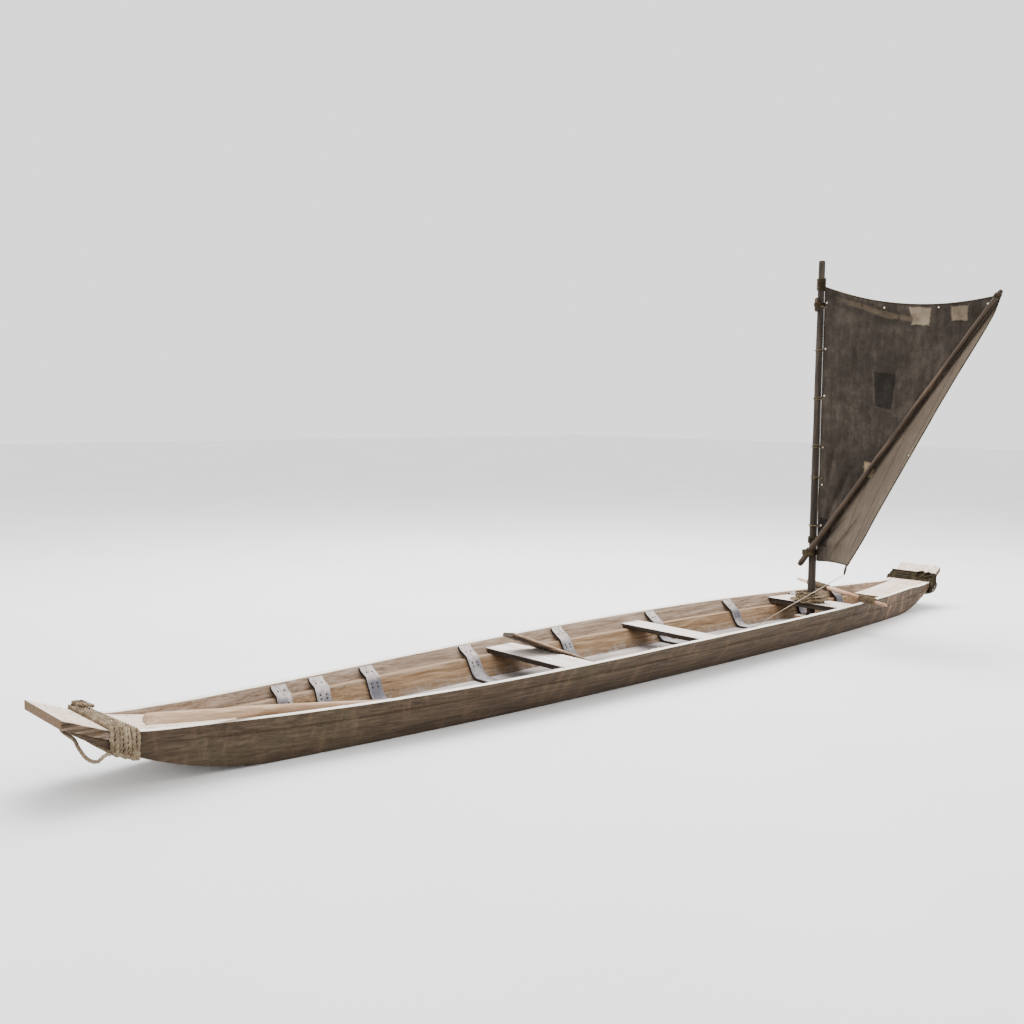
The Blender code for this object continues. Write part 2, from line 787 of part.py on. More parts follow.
def build_oar(collection):
    nodes = [(Vector(row[:3]), row[3], row[4]) for row in OAR]
    return build_round("oar", nodes, 12, "board", collection)


YARD_NEAR = Vector((5.456, -0.578, 0.2338))
YARD_FAR = Vector((6.054, 0.529, 0.2283))
# Spare yard: share of its length, radius
YARD_RADII = ((0.0, 0.008), (0.02, 0.011), (0.5, 0.0165), (0.98, 0.011), (1.0, 0.008))
# Lashings on the spare yard: name, share of its length at the middle, length
YARD_LASHINGS = (("yard_lashing_starboard", 0.185, 0.20), ("yard_lashing_port", 0.740, 0.30))
YARD_TURNS_RADIUS = 0.0255


def build_spare_yard(collection):
    """A light pole across the gunwales, resting on its rope turns."""
    nodes = []
    for share, radius in YARD_RADII:
        nodes.append((YARD_NEAR.lerp(YARD_FAR, share), radius, radius))
    build_round("spare_yard", nodes, 10, "pole", collection)
    axis = YARD_FAR - YARD_NEAR
    for name, share, length in YARD_LASHINGS:
        centre = YARD_NEAR.lerp(YARD_FAR, share)
        thick_end = share + math.copysign(length / 2 / axis.length, 0.5 - share)
        inner = interpolate(YARD_RADII, thick_end, 1) + 0.0006
        build_sleeve(name, centre, axis, length, inner, YARD_TURNS_RADIUS, "rope", collection, sides=10)


def build_mast_coil(collection):
    """Loose turns of rope round the mast on its thwart."""
    centre = Vector((MAST_ALONG + 0.012, -0.012, MAST_THWART["top"] + GAP + 0.014))
    build_sleeve("mast_rope_coil", centre, Vector((0.0, 0.0, 1.0)), 0.028, 0.052, 0.108, "rope", collection)


# Rope turns round the hull's ends: name, end board, first along, last along
WRAPS = (("stern_rope_wrap", STERN_BOARD, 0.190, 0.300), ("bow_rope_wrap", BOW_BOARD, 6.812, 6.900))
WRAP_THICK = 0.024


def wrap_outline(board, along):
    """Corner points round the hull, and the same points pushed out by the rope's thickness."""
    cut = Section(along)
    tip_half = STERN_TIP_HALF if board is STERN_BOARD else BOW_TIP_HALF
    half = max(cut.gunwale_y, cut.outer(cut.lap_z) + LAP_PROUD, tip_half) + 0.0012
    low = cut.chine_z - GAP
    high = board_top(board, along) + GAP
    inner = ((-half, low), (half, low), (half, high), (-half, high))
    thick = WRAP_THICK
    outer = (
        (-half - thick, low - 0.6 * thick),
        (half + thick, low - 0.6 * thick),
        (half + thick, high + 0.8 * thick),
        (-half - thick, high + 0.8 * thick),
    )
    return inner, outer


def build_wraps(collection):
    for name, board, first, last in WRAPS:
        outlines = [(along, *wrap_outline(board, along)) for along in span(first, last, board)]
        rings = []
        for k in range(4):
            inside = [(along, *inner[k]) for along, inner, outer in outlines]
            outside = [(along, *outer[k]) for along, inner, outer in reversed(outlines)]
            rings.append(inside + outside)
        build_loft(name, rings, "rope", collection, closed=True)


# Ropes that hang or run free: name, radius, then points of along, to port, height
ROPES = (
    (
        "stern_rope_loop",
        0.008,
        (
            (0.1897, -0.213, 0.186),
            (0.168, -0.213, 0.186),
            (0.140, -0.192, 0.158),
            (0.105, -0.186, 0.176),
            (0.074, -0.184, 0.225),
            (0.076, -0.140, 0.246),
            (0.088, -0.050, 0.240),
            (0.105, 0.060, 0.230),
            (0.130, 0.150, 0.214),
            (0.160, 0.213, 0.206),
            (0.1897, 0.213, 0.206),
        ),
    ),
    (
        "bow_rope_loop",
        0.008,
        (
            (6.9003, -0.184, 0.190),
            (6.922, -0.184, 0.190),
            (6.938, -0.150, 0.125),
            (6.932, -0.085, 0.098),
            (6.955, -0.020, 0.118),
            (6.984, 0.020, 0.165),
            (6.985, 0.080, 0.195),
            (6.965, 0.145, 0.213),
            (6.930, 0.184, 0.225),
            (6.9003, 0.184, 0.225),
        ),
    ),
    (
        "sheet",
        0.004,
        ((4.887, -0.586, 0.4979), (4.640, -0.325, 0.275), (4.390, -0.060, 0.0377)),
    ),
)


def smooth_route(points, step):
    """Points every step or so along a smooth curve, with its two end stretches straight."""
    last = len(points) - 1
    if last < 3:
        return points
    route = [points[0]]
    for k in range(1, last - 1):
        before, start, stop, after = points[k - 1 : k + 3]
        run = (stop - start).length
        count = max(2, round(run / step))
        leave = (stop - before) * run / ((stop - start).length + (start - before).length)
        arrive = (after - start) * run / ((after - stop).length + (stop - start).length)
        for i in range(count):
            t = i / count
            point = (2 * t**3 - 3 * t**2 + 1) * start + (3 * t**2 - 2 * t**3) * stop
            route.append(point + (t**3 - 2 * t**2 + t) * leave + (t**3 - t**2) * arrive)
    return route + [points[-2], points[-1]]


def build_ropes(collection):
    for name, radius, points in ROPES:
        vectors = [Vector(p) + SHIFT for p in points]
        route = smooth_route(vectors, 5 * radius)
        data = bpy.data.curves.new(name, "CURVE")
        data.dimensions = "3D"
        data.bevel_depth = radius
        data.bevel_resolution = 2
        data.use_fill_caps = True
        spline = data.splines.new("POLY")
        spline.points.add(len(route) - 1)
        for target, point in zip(spline.points, route):
            target.co = (*point, 1.0)
        obj = bpy.data.objects.new(name, data)
        data.materials.append(material(name, COLOURS["rope"]))
        collection.objects.link(obj)


def build_hull(collection, cutters):
    stern_cutter = build_board_cutter("stern_board_room", STERN_BOARD, cutters)
    bow_cutter = build_board_cutter("bow_board_room", BOW_BOARD, cutters)
    for side_name, side in (("port", 1), ("starboard", -1)):
        for run, start, stop in plank_runs(UPPER_ENDS):
            build_upper_strake(f"upper_strake_{side_name}_{run}", start, stop, side, collection)
        for run, start, stop in plank_runs(LOWER_ENDS):
            lower = build_lower_strake(f"lower_strake_{side_name}_{run}", start, stop, side, collection)
            if run != "middle":
                cut_with(lower, stern_cutter if run == "aft" else bow_cutter)
    build_bottom(collection)
    build_end_block("stern_block", BLOCK_ENDS[0], BOTTOM_ENDS[0] - GAP, STERN_BOARD, collection)
    build_end_block("bow_block", BOTTOM_ENDS[1] + GAP, BLOCK_ENDS[1], BOW_BOARD, collection)
    build_end_board("stern_board", STERN_BOARD, collection)
    build_end_board("bow_board", BOW_BOARD, collection)


def main():
    for obj in list(bpy.data.objects):
        bpy.data.objects.remove(obj, do_unlink=True)
    collection = bpy.data.collections.new(COLLECTION_NAME)
    bpy.context.scene.collection.children.link(collection)
    cutters = bpy.data.collections.new("Cutters")
    bpy.context.scene.collection.children.link(cutters)
    build_hull(collection, cutters)
    build_frames(collection)
    build_thwarts(collection, cutters)
    build_rig(collection, cutters)
    build_loose_board(collection)
    build_oar(collection)
    build_spare_yard(collection)
    build_mast_coil(collection)
    build_wraps(collection)
    build_ropes(collection)


main()
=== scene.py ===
"""Looks of the plank sailing boat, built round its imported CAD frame.

Metres. +X is the bow, +Y is port, +Z is up. The origin is the middle of the flat bottom.
Distances called "along" run from the stern tip, as in the part's source.
"""

import math

import bmesh
import bpy
import numpy as np
from mathutils import Matrix, Vector, noise
from mathutils.bvhtree import BVHTree


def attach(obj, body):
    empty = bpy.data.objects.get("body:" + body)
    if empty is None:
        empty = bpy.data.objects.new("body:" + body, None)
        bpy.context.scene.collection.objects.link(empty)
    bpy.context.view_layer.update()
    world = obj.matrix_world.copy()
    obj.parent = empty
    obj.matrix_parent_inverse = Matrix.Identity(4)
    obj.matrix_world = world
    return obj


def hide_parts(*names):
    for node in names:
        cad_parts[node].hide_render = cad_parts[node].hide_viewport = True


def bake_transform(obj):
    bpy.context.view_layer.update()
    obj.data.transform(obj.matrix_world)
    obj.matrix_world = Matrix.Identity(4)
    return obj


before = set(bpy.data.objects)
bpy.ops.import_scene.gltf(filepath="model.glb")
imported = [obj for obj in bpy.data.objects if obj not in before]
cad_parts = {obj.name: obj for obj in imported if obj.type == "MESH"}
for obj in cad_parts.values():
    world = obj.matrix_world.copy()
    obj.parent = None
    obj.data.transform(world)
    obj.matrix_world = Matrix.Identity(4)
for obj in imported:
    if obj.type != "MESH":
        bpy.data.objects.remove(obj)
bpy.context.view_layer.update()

HULL_LENGTH = 7.0
ROW_START = -HULL_LENGTH / 2
SHIFT = np.array((ROW_START, 0.0, 0.0))
GAP = 0.0003
SIDE_GAP = 0.0009

# ---------------------------------------------------------------- shape tables of the part

# Hull shape: along, gunwale half breadth, gunwale height, chine half breadth, lap height
HULL_TABLE = (
    (0.04, 0.200, 0.345, 0.194, 0.304),
    (0.18, 0.201, 0.290, 0.192, 0.250),
    (0.31, 0.203, 0.251, 0.192, 0.212),
    (0.60, 0.232, 0.233, 0.200, 0.176),
    (1.00, 0.289, 0.218, 0.227, 0.155),
    (1.50, 0.358, 0.210, 0.267, 0.149),
    (2.00, 0.410, 0.209, 0.296, 0.145),
    (2.75, 0.452, 0.214, 0.315, 0.142),
    (3.50, 0.463, 0.220, 0.318, 0.140),
    (4.25, 0.451, 0.220, 0.313, 0.138),
    (5.00, 0.412, 0.215, 0.295, 0.135),
    (5.50, 0.362, 0.209, 0.267, 0.130),
    (6.00, 0.289, 0.204, 0.224, 0.123),
    (6.45, 0.211, 0.201, 0.176, 0.128),
    (6.80, 0.176, 0.208, 0.160, 0.166),
    (6.96, 0.171, 0.300, 0.158, 0.262),
)
STERN_RISE = {"height": 0.314, "reach": 1.0, "power": 2.15}
BOW_RISE = {"height": 0.275, "reach": 0.7, "power": 2.2}
UPPER_WIDTH = 0.042
LOWER_WIDTH = 0.080
LAP_PROUD = 0.006
BOTTOM_THICK = 0.034
CENTRE_PLANK_SHARE = 0.38
STRAKE_RUNS = ("aft", "middle", "fore")
UPPER_ENDS = (0.31, 6.80)
LOWER_ENDS = (0.04, 6.96)
BOTTOM_ENDS = (0.18, 6.74)
STATIONS = (
    [0.04, 0.08, 0.13, 0.18, 0.24, 0.31, 0.38, 0.46, 0.54, 0.62, 0.71, 0.80, 0.90, 1.0]
    + [1.0 + 0.25 * k for k in range(1, 22)]
    + [6.38, 6.46, 6.55, 6.64, 6.74, 6.80, 6.85, 6.90, 6.96]
)

# End boards: along, height of the top face
STERN_BOARD = (
    (0.0, 0.356),
    (0.09, 0.320),
    (0.18, 0.284),
    (0.27, 0.257),
    (0.36, 0.236),
    (0.60, 0.190),
    (0.90, 0.135),
)
BOW_BOARD = (
    (6.30, 0.135),
    (6.55, 0.166),
    (6.72, 0.187),
    (6.80, 0.204),
    (6.86, 0.231),
    (6.93, 0.276),
    (7.0, 0.320),
)
BOARD_THICK = 0.042
STERN_TIP_HALF = 0.202
BOW_TIP_HALF = 0.171

FRAMES = (1.220, 1.453, 1.784, 2.500, 3.253, 4.114, 4.906, 5.621, 6.062)
FRAME_WIDE = 0.085
FRAME_THICK = 0.016

# Seats: node, aft edge, forward edge, thickness
THWARTS = (
    ("aft_thwart", 2.661, 2.877, 0.030),
    ("middle_thwart", 3.833, 4.000, 0.030),
)
MAST_THWART = {"aft": 5.360, "fore": 5.575, "top": 0.184, "thick": 0.036}

MAST_ALONG = 5.430
MAST_TOP = 2.605
MAST_FOOT = 0.0546
MAST_FOOT_RADIUS = 0.0290
MAST_TOP_RADIUS = 0.0225

SPRIT_FOOT = Vector((5.374, 0.070, 0.452))
SPRIT_HEAD = Vector((5.452, -1.275, 2.315))
SPRIT_RADII = (0.021, 0.016)

LUFF_Z = (0.490, 2.420)
LUFF_CLEARANCE = 0.0104
# Leech of the sail: height, along, half breadth to starboard
LEECH = (
    (0.560, 4.905, 0.600),
    (0.730, 4.925, 0.690),
    (0.900, 4.943, 0.772),
    (1.310, 5.076, 0.931),
    (1.730, 5.240, 1.083),
    (2.150, 5.425, 1.235),
    (2.290, 5.478, 1.262),
)
HEAD_SAG = 0.088
SPRIT_CLEARANCE = 0.030

# Oar: along, to port, height, half width, half thickness
OAR = (
    (0.285, -0.318, 0.332, 0.016, 0.016),
    (0.296, -0.316, 0.330, 0.024, 0.024),
    (0.450, -0.280, 0.3045, 0.025, 0.025),
    (0.660, -0.2335, 0.2685, 0.024, 0.024),
    (0.770, -0.209, 0.2518, 0.024, 0.024),
    (0.880, -0.186, 0.2345, 0.024, 0.024),
    (1.150, -0.138, 0.1880, 0.023, 0.023),
    (1.560, -0.082, 0.1210, 0.023, 0.022),
    (1.700, -0.064, 0.1000, 0.045, 0.018),
    (1.860, -0.043, 0.0780, 0.062, 0.014),
    (2.100, -0.010, 0.0545, 0.065, 0.010),
    (2.200, 0.003, 0.0475, 0.058, 0.008),
    (2.250, 0.010, 0.0445, 0.030, 0.006),
)

YARD_NEAR = Vector((5.456, -0.578, 0.2338))
YARD_FAR = Vector((6.054, 0.529, 0.2283))
YARD_RADII = ((0.0, 0.008), (0.02, 0.011), (0.5, 0.0165), (0.98, 0.011), (1.0, 0.008))
# Lashings on the spare yard: node, share of its length at the middle, length
YARD_LASHINGS = (("yard_lashing_starboard", 0.185, 0.20), ("yard_lashing_port", 0.740, 0.30))
YARD_TURNS_RADIUS = 0.0255

# Lashings round the mast: node, height of the middle, length
MAST_LASHINGS = (("masthead_lashing", 2.44, 0.095), ("tack_lashing", 0.635, 0.060))
MAST_LINE = 0.0044
YARD_LINE = 0.0046

# Ropes that hang between the turns: points of along, to port, height
ROPE_RADIUS = 0.008
ROPE_STEP = 0.016
ROPES = {
    "stern_rope_loop": (
        (0.1897, -0.213, 0.186),
        (0.168, -0.213, 0.186),
        (0.140, -0.192, 0.158),
        (0.105, -0.186, 0.176),
        (0.074, -0.184, 0.225),
        (0.076, -0.140, 0.246),
        (0.088, -0.050, 0.240),
        (0.105, 0.060, 0.230),
        (0.130, 0.150, 0.214),
        (0.160, 0.213, 0.206),
        (0.1897, 0.213, 0.206),
    ),
    "bow_rope_loop": (
        (6.9003, -0.184, 0.190),
        (6.922, -0.184, 0.190),
        (6.938, -0.150, 0.125),
        (6.932, -0.085, 0.098),
        (6.955, -0.020, 0.118),
        (6.984, 0.020, 0.165),
        (6.985, 0.080, 0.195),
        (6.965, 0.145, 0.213),
        (6.930, 0.184, 0.225),
        (6.9003, 0.184, 0.225),
    ),
}
SHEET_RADIUS = 0.004
SHEET_ROUTE = ((4.887, -0.586, 0.4979), (4.640, -0.325, 0.275), (4.390, -0.060, 0.0377))


def interpolate(table, along, column):
    """Straight-line value of one column of a table whose first column is along."""
    if along <= table[0][0]:
        return table[0][column]
    for low, high in zip(table, table[1:]):
        if along <= high[0]:
            share = (along - low[0]) / (high[0] - low[0])
            return low[column] + share * (high[column] - low[column])
    return table[-1][column]


def fair(table, along, column):
    """Cubic curve through one column of a table, with slopes from the neighbours."""
    last = len(table) - 1
    k = 0
    while k < last - 1 and along > table[k + 1][0]:
        k += 1

    def slope(i):
        a = max(i - 1, 0)
        b = min(i + 1, last)
        return (table[b][column] - table[a][column]) / (table[b][0] - table[a][0])

    x0, x1 = table[k][0], table[k + 1][0]
    y0, y1 = table[k][column], table[k + 1][column]
    run = x1 - x0
    t = (along - x0) / run
    curve = (2 * t**3 - 3 * t**2 + 1) * y0 + (3 * t**2 - 2 * t**3) * y1
    return curve + (t**3 - 2 * t**2 + t) * run * slope(k) + (t**3 - t**2) * run * slope(k + 1)


def bottom_height(along):
    """The bottom is flat amidships and curves up to both ends."""
    aft = max(0.0, (STERN_RISE["reach"] - along) / STERN_RISE["reach"])
    fore = max(0.0, (along - HULL_LENGTH + BOW_RISE["reach"]) / BOW_RISE["reach"])
    rise = STERN_RISE["height"] * aft ** STERN_RISE["power"]
    return rise + BOW_RISE["height"] * fore ** BOW_RISE["power"]


SECTIONS = [
    (along, *(fair(HULL_TABLE, along, k) for k in range(1, 5)), bottom_height(along))
    for along in STATIONS
]


class Section:
    """Cross section of the hull at one distance along, port half."""

    def __init__(self, along):
        self.gunwale_y = interpolate(SECTIONS, along, 1)
        self.gunwale_z = interpolate(SECTIONS, along, 2)
        self.chine_y = interpolate(SECTIONS, along, 3)
        self.lap_z = interpolate(SECTIONS, along, 4)
        self.chine_z = interpolate(SECTIONS, along, 5)
        self.lower_top_y = self.outer(self.lap_z) - LOWER_WIDTH
        self.lower_foot_y = self.chine_y - LOWER_WIDTH

    def outer(self, z):
        share = (z - self.chine_z) / (self.gunwale_z - self.chine_z)
        return self.chine_y + share * (self.gunwale_y - self.chine_y)

    def upper_inner(self, z):
        return self.outer(z) - UPPER_WIDTH

    def lower_inner(self, z):
        share = (z - self.chine_z) / (self.lap_z - self.chine_z)
        return self.lower_foot_y + share * (self.lower_top_y - self.lower_foot_y)


def board_top(table, along):
    return interpolate(table, along, 1)


def mast_radius(z):
    return MAST_FOOT_RADIUS + (MAST_TOP_RADIUS - MAST_FOOT_RADIUS) * z / MAST_TOP


def sprit_point(z):
    share = (z - SPRIT_FOOT.z) / (SPRIT_HEAD.z - SPRIT_FOOT.z)
    return SPRIT_FOOT.lerp(SPRIT_HEAD, share)


def span(start, stop, step, board=()):
    """Distances along from start to stop, with the stations and an end board's own bends."""
    marks = {round(start + step * k, 4) for k in range(int((stop - start) / step) + 1)}
    marks |= set(STATIONS) | {row[0] for row in board}
    kept = []
    for mark in sorted(m for m in marks if start + 0.004 < m < stop - 0.004):
        if not kept or mark - kept[-1] > 0.008:
            kept.append(mark)
    return [start] + kept + [stop]


# ---------------------------------------------------------------- camera

# The photograph's upper view: place, then degrees to port of ahead, down and of roll, and millimetres
CAMERA_AT = (-5.0549, -4.5093, 1.5724)
CAMERA_AZIMUTH = 47.919
CAMERA_DOWN = 5.367
CAMERA_ROLL = 0.446
CAMERA_LENS = 39.573


def make_camera():
    data = bpy.data.cameras.new("Camera")
    data.lens = CAMERA_LENS
    data.sensor_width = 36.0
    camera = bpy.data.objects.new("Camera", data)
    bpy.context.scene.collection.objects.link(camera)
    azimuth = math.radians(CAMERA_AZIMUTH)
    down = math.radians(CAMERA_DOWN)
    ahead = Vector((math.cos(azimuth), math.sin(azimuth), 0.0)) * math.cos(down)
    ahead.z = -math.sin(down)
    right = ahead.cross(Vector((0.0, 0.0, 1.0))).normalized()
    up = right.cross(ahead)
    turn = Matrix.Rotation(math.radians(-CAMERA_ROLL), 3, ahead)
    right = turn @ right
    up = turn @ up
    facing = Matrix((right, up, -ahead)).transposed().to_4x4()
    camera.matrix_world = Matrix.Translation(CAMERA_AT) @ facing
    bpy.context.scene.camera = camera


# ---------------------------------------------------------------- mesh helpers

ARC_STEPS = 3
STRAND_COUNT = 3
# Length along the rope of one strand's turn, in radii
LAY_PITCH = 6.5
# A strand's radii round the rope, as shares of the rope's own: a shallow and a deep lay
EVEN_STRAND = (0.80, 0.97, 1.04, 0.97)
DEEP_STRAND = (0.62, 0.92, 1.06, 0.92)


def add_mesh(name, points, faces, finish, body="root", soften=35.0):
    """A mesh object in the row frame, smooth but for its sharp edges. body None leaves it free."""
    bm = bmesh.new()
    made = [bm.verts.new(tuple(p)) for p in points]
    for face in faces:
        bm.faces.new([made[k] for k in face])
    bmesh.ops.recalc_face_normals(bm, faces=bm.faces)
    mesh = bpy.data.meshes.new(name)
    bm.to_mesh(mesh)
    bm.free()
    mesh.materials.append(finish)
    mesh.shade_smooth()
    mesh.set_sharp_from_angle(angle=math.radians(soften))
    obj = bpy.data.objects.new(name, mesh)
    bpy.context.scene.collection.objects.link(obj)
    if body:
        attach(obj, body)
    return obj


def skin(rings):
    """Points and faces of rings of equal point counts, closed at both ends."""
    rings = np.asarray(rings, float)
    count, around = rings.shape[:2]
    faces = []
    for i in range(count - 1):
        a = i * around
        b = a + around
        faces += [(a + k, a + (k + 1) % around, b + (k + 1) % around, b + k) for k in range(around)]
    faces.append(tuple(range(around)))
    faces.append(tuple(range((count - 1) * around, count * around)))
    return rings.reshape(-1, 3), faces


def loft(name, rings, finish, body="root", soften=35.0):
    return add_mesh(name, *skin(rings), finish, body, soften)


def stand_in(obj, slot, *nodes):
    """Hides these CAD nodes, which the object stands in for; obj is not used."""
    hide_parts(*nodes)


def merged(parts):
    """One list of points and one of faces from several."""
    points = []
    faces = []
    start = 0
    for some_points, some_faces in parts:
        points.append(np.asarray(some_points, float))
        faces += [tuple(k + start for k in face) for face in some_faces]
        start += len(some_points)
    return np.concatenate(points), faces


def bundle(name, parts, finish, body="rig", soften=60):
    """One object made of several skins."""
    return add_mesh(name, *merged(parts), FINISH[finish], body, soften)


def rounded(corners, radii):
    """A closed outline of two columns with each corner turned into a short arc."""
    corners = np.asarray(corners, float)
    count = len(corners)
    radii = [radii] * count if np.isscalar(radii) else radii
    out = []
    for k in range(count):
        corner = corners[k]
        back = corners[k - 1] - corner
        ahead = corners[(k + 1) % count] - corner
        reach = min(radii[k], 0.45 * np.linalg.norm(back), 0.45 * np.linalg.norm(ahead))
        start = corner + back / max(np.linalg.norm(back), 1e-9) * reach
        stop = corner + ahead / max(np.linalg.norm(ahead), 1e-9) * reach
        for i in range(ARC_STEPS + 1):
            t = i / ARC_STEPS
            out.append((1 - t) ** 2 * start + 2 * t * (1 - t) * corner + t * t * stop)
    return np.array(out)


def soft_ends(rings, soft):
    """The rings with each end drawn in a little, as on a sawn and worn board."""
    rings = [np.array(ring, float) for ring in rings]
    ends = []
    for end, inner in ((0, 1), (-1, -2)):
        ring = rings[end]
        centre = ring.mean(0)
        inward = rings[inner].mean(0) - centre
        inward /= np.linalg.norm(inward)
        spread = ring - centre
        size = np.linalg.norm(spread, axis=1, keepdims=True)
        drawn = centre + spread * (1.0 - np.minimum(soft / np.maximum(size, 1e-9), 0.5))
        ends.append((drawn, ring + inward * soft))
    return [*ends[0], *rings[1:-1], *reversed(ends[1])]


def waver(seed, x, size, pitch):
    """A smooth random value along x, the same at each run."""
    return size * noise.noise(Vector((x / pitch, 17.3 * seed, 3.1 * seed)))


def path_frames(points):
    """Unit directions and two side axes at each point of a line, without twist."""
    points = np.asarray(points, float)
    ahead = np.gradient(points, axis=0)
    ahead /= np.linalg.norm(ahead, axis=1, keepdims=True)
    helper = np.array((0.0, 0.0, 1.0)) if abs(ahead[0][2]) < 0.9 else np.array((1.0, 0.0, 0.0))
    side = np.cross(ahead[0], helper)
    sides = []
    for direction in ahead:
        side = side - direction * (side @ direction)
        side /= np.linalg.norm(side)
        sides.append(side)
    sides = np.array(sides)
    return ahead, sides, np.cross(ahead, sides)


def resample(points, step):
    """The line's points again at even steps, by straight stretches."""
    points = np.asarray(points, float)
    lengths = np.linalg.norm(np.diff(points, axis=0), axis=1)
    reach = np.concatenate(([0.0], np.cumsum(lengths)))
    count = max(3, int(round(reach[-1] / step)) + 1)
    marks = np.linspace(0.0, reach[-1], count)
    return np.stack([np.interp(marks, reach, points[:, k]) for k in range(3)], axis=1)


def smooth_line(points, step):
    """A smooth line through points, at even steps."""
    points = np.asarray(points, float)
    last = len(points) - 1
    fine = []
    for k in range(last):
        before = points[max(k - 1, 0)]
        after = points[min(k + 2, last)]
        start, stop = points[k], points[k + 1]
        run = np.linalg.norm(stop - start)
        leave = (stop - before) * run / max(run + np.linalg.norm(start - before), 1e-9)
        arrive = (after - start) * run / max(np.linalg.norm(after - stop) + run, 1e-9)
        for t in np.linspace(0.0, 1.0, 12, endpoint=False):
            point = (2 * t**3 - 3 * t**2 + 1) * start + (3 * t**2 - 2 * t**3) * stop
            fine.append(point + (t**3 - 2 * t**2 + t) * leave + (t**3 - t**2) * arrive)
    fine.append(points[-1])
    return resample(fine, step)


def laid(points, step):
    """A smooth line through points given as along, to port, height."""
    return smooth_line(np.array(points) + SHIFT, step)


def rope_skin(line, radius, step=0.55, strand=DEEP_STRAND):
    """Points and faces of a laid rope of three strands along a line."""
    line = resample(line, step * radius)
    ahead, side, other = path_frames(line)
    reach = np.arange(len(line)) * step * radius
    turn = 2 * math.pi * reach / (LAY_PITCH * radius)
    sides = STRAND_COUNT * len(strand)
    angles = 2 * math.pi * np.arange(sides) / sides
    shape = radius * np.array(strand * STRAND_COUNT)
    theta = turn[:, None] + angles[None, :]
    rings = (
        line[:, None, :]
        + side[:, None, :] * (np.cos(theta) * shape)[..., None]
        + other[:, None, :] * (np.sin(theta) * shape)[..., None]
    )
    drawn = []
    for ring, centre, move in ((rings[0], line[0], -ahead[0]), (rings[-1], line[-1], ahead[-1])):
        drawn.append(centre + (ring - centre) * 0.55 + move * radius * 0.35)
    return skin(np.concatenate(([drawn[0]], rings, [drawn[1]])))


def round_skin(line, radii, sides, seed=0, rough=0.0):
    """Points and faces of a hand-shaped pole; radii are one per point, or pairs of them."""
    line = np.asarray(line, float)
    _, side, other = path_frames(line)
    rings = []
    for k, (centre, radius) in enumerate(zip(line, radii)):
        wide, thick = radius if np.ndim(radius) else (radius, radius)
        ring = []
        for i in range(sides):
            angle = 2 * math.pi * i / sides
            run = np.linalg.norm(centre - line[0]) * 4.0
            spot = (math.cos(angle) * 0.9, math.sin(angle) * 0.9 + seed * 7.7, run)
            swell = 1.0 + rough * noise.noise(Vector(spot))
            reach = side[k] * wide * swell * math.cos(angle)
            ring.append(centre + reach + other[k] * thick * swell * math.sin(angle))
        rings.append(ring)
    return skin(rings)


# ---------------------------------------------------------------- materials


def srgb(red, green, blue):
    """A linear colour from the usual 0 to 255 numbers."""
    return (
        *(((c / 255 + 0.055) / 1.055) ** 2.4 if c > 10 else c / 255 / 12.92 for c in (red, green, blue)),
        1.0,
    )


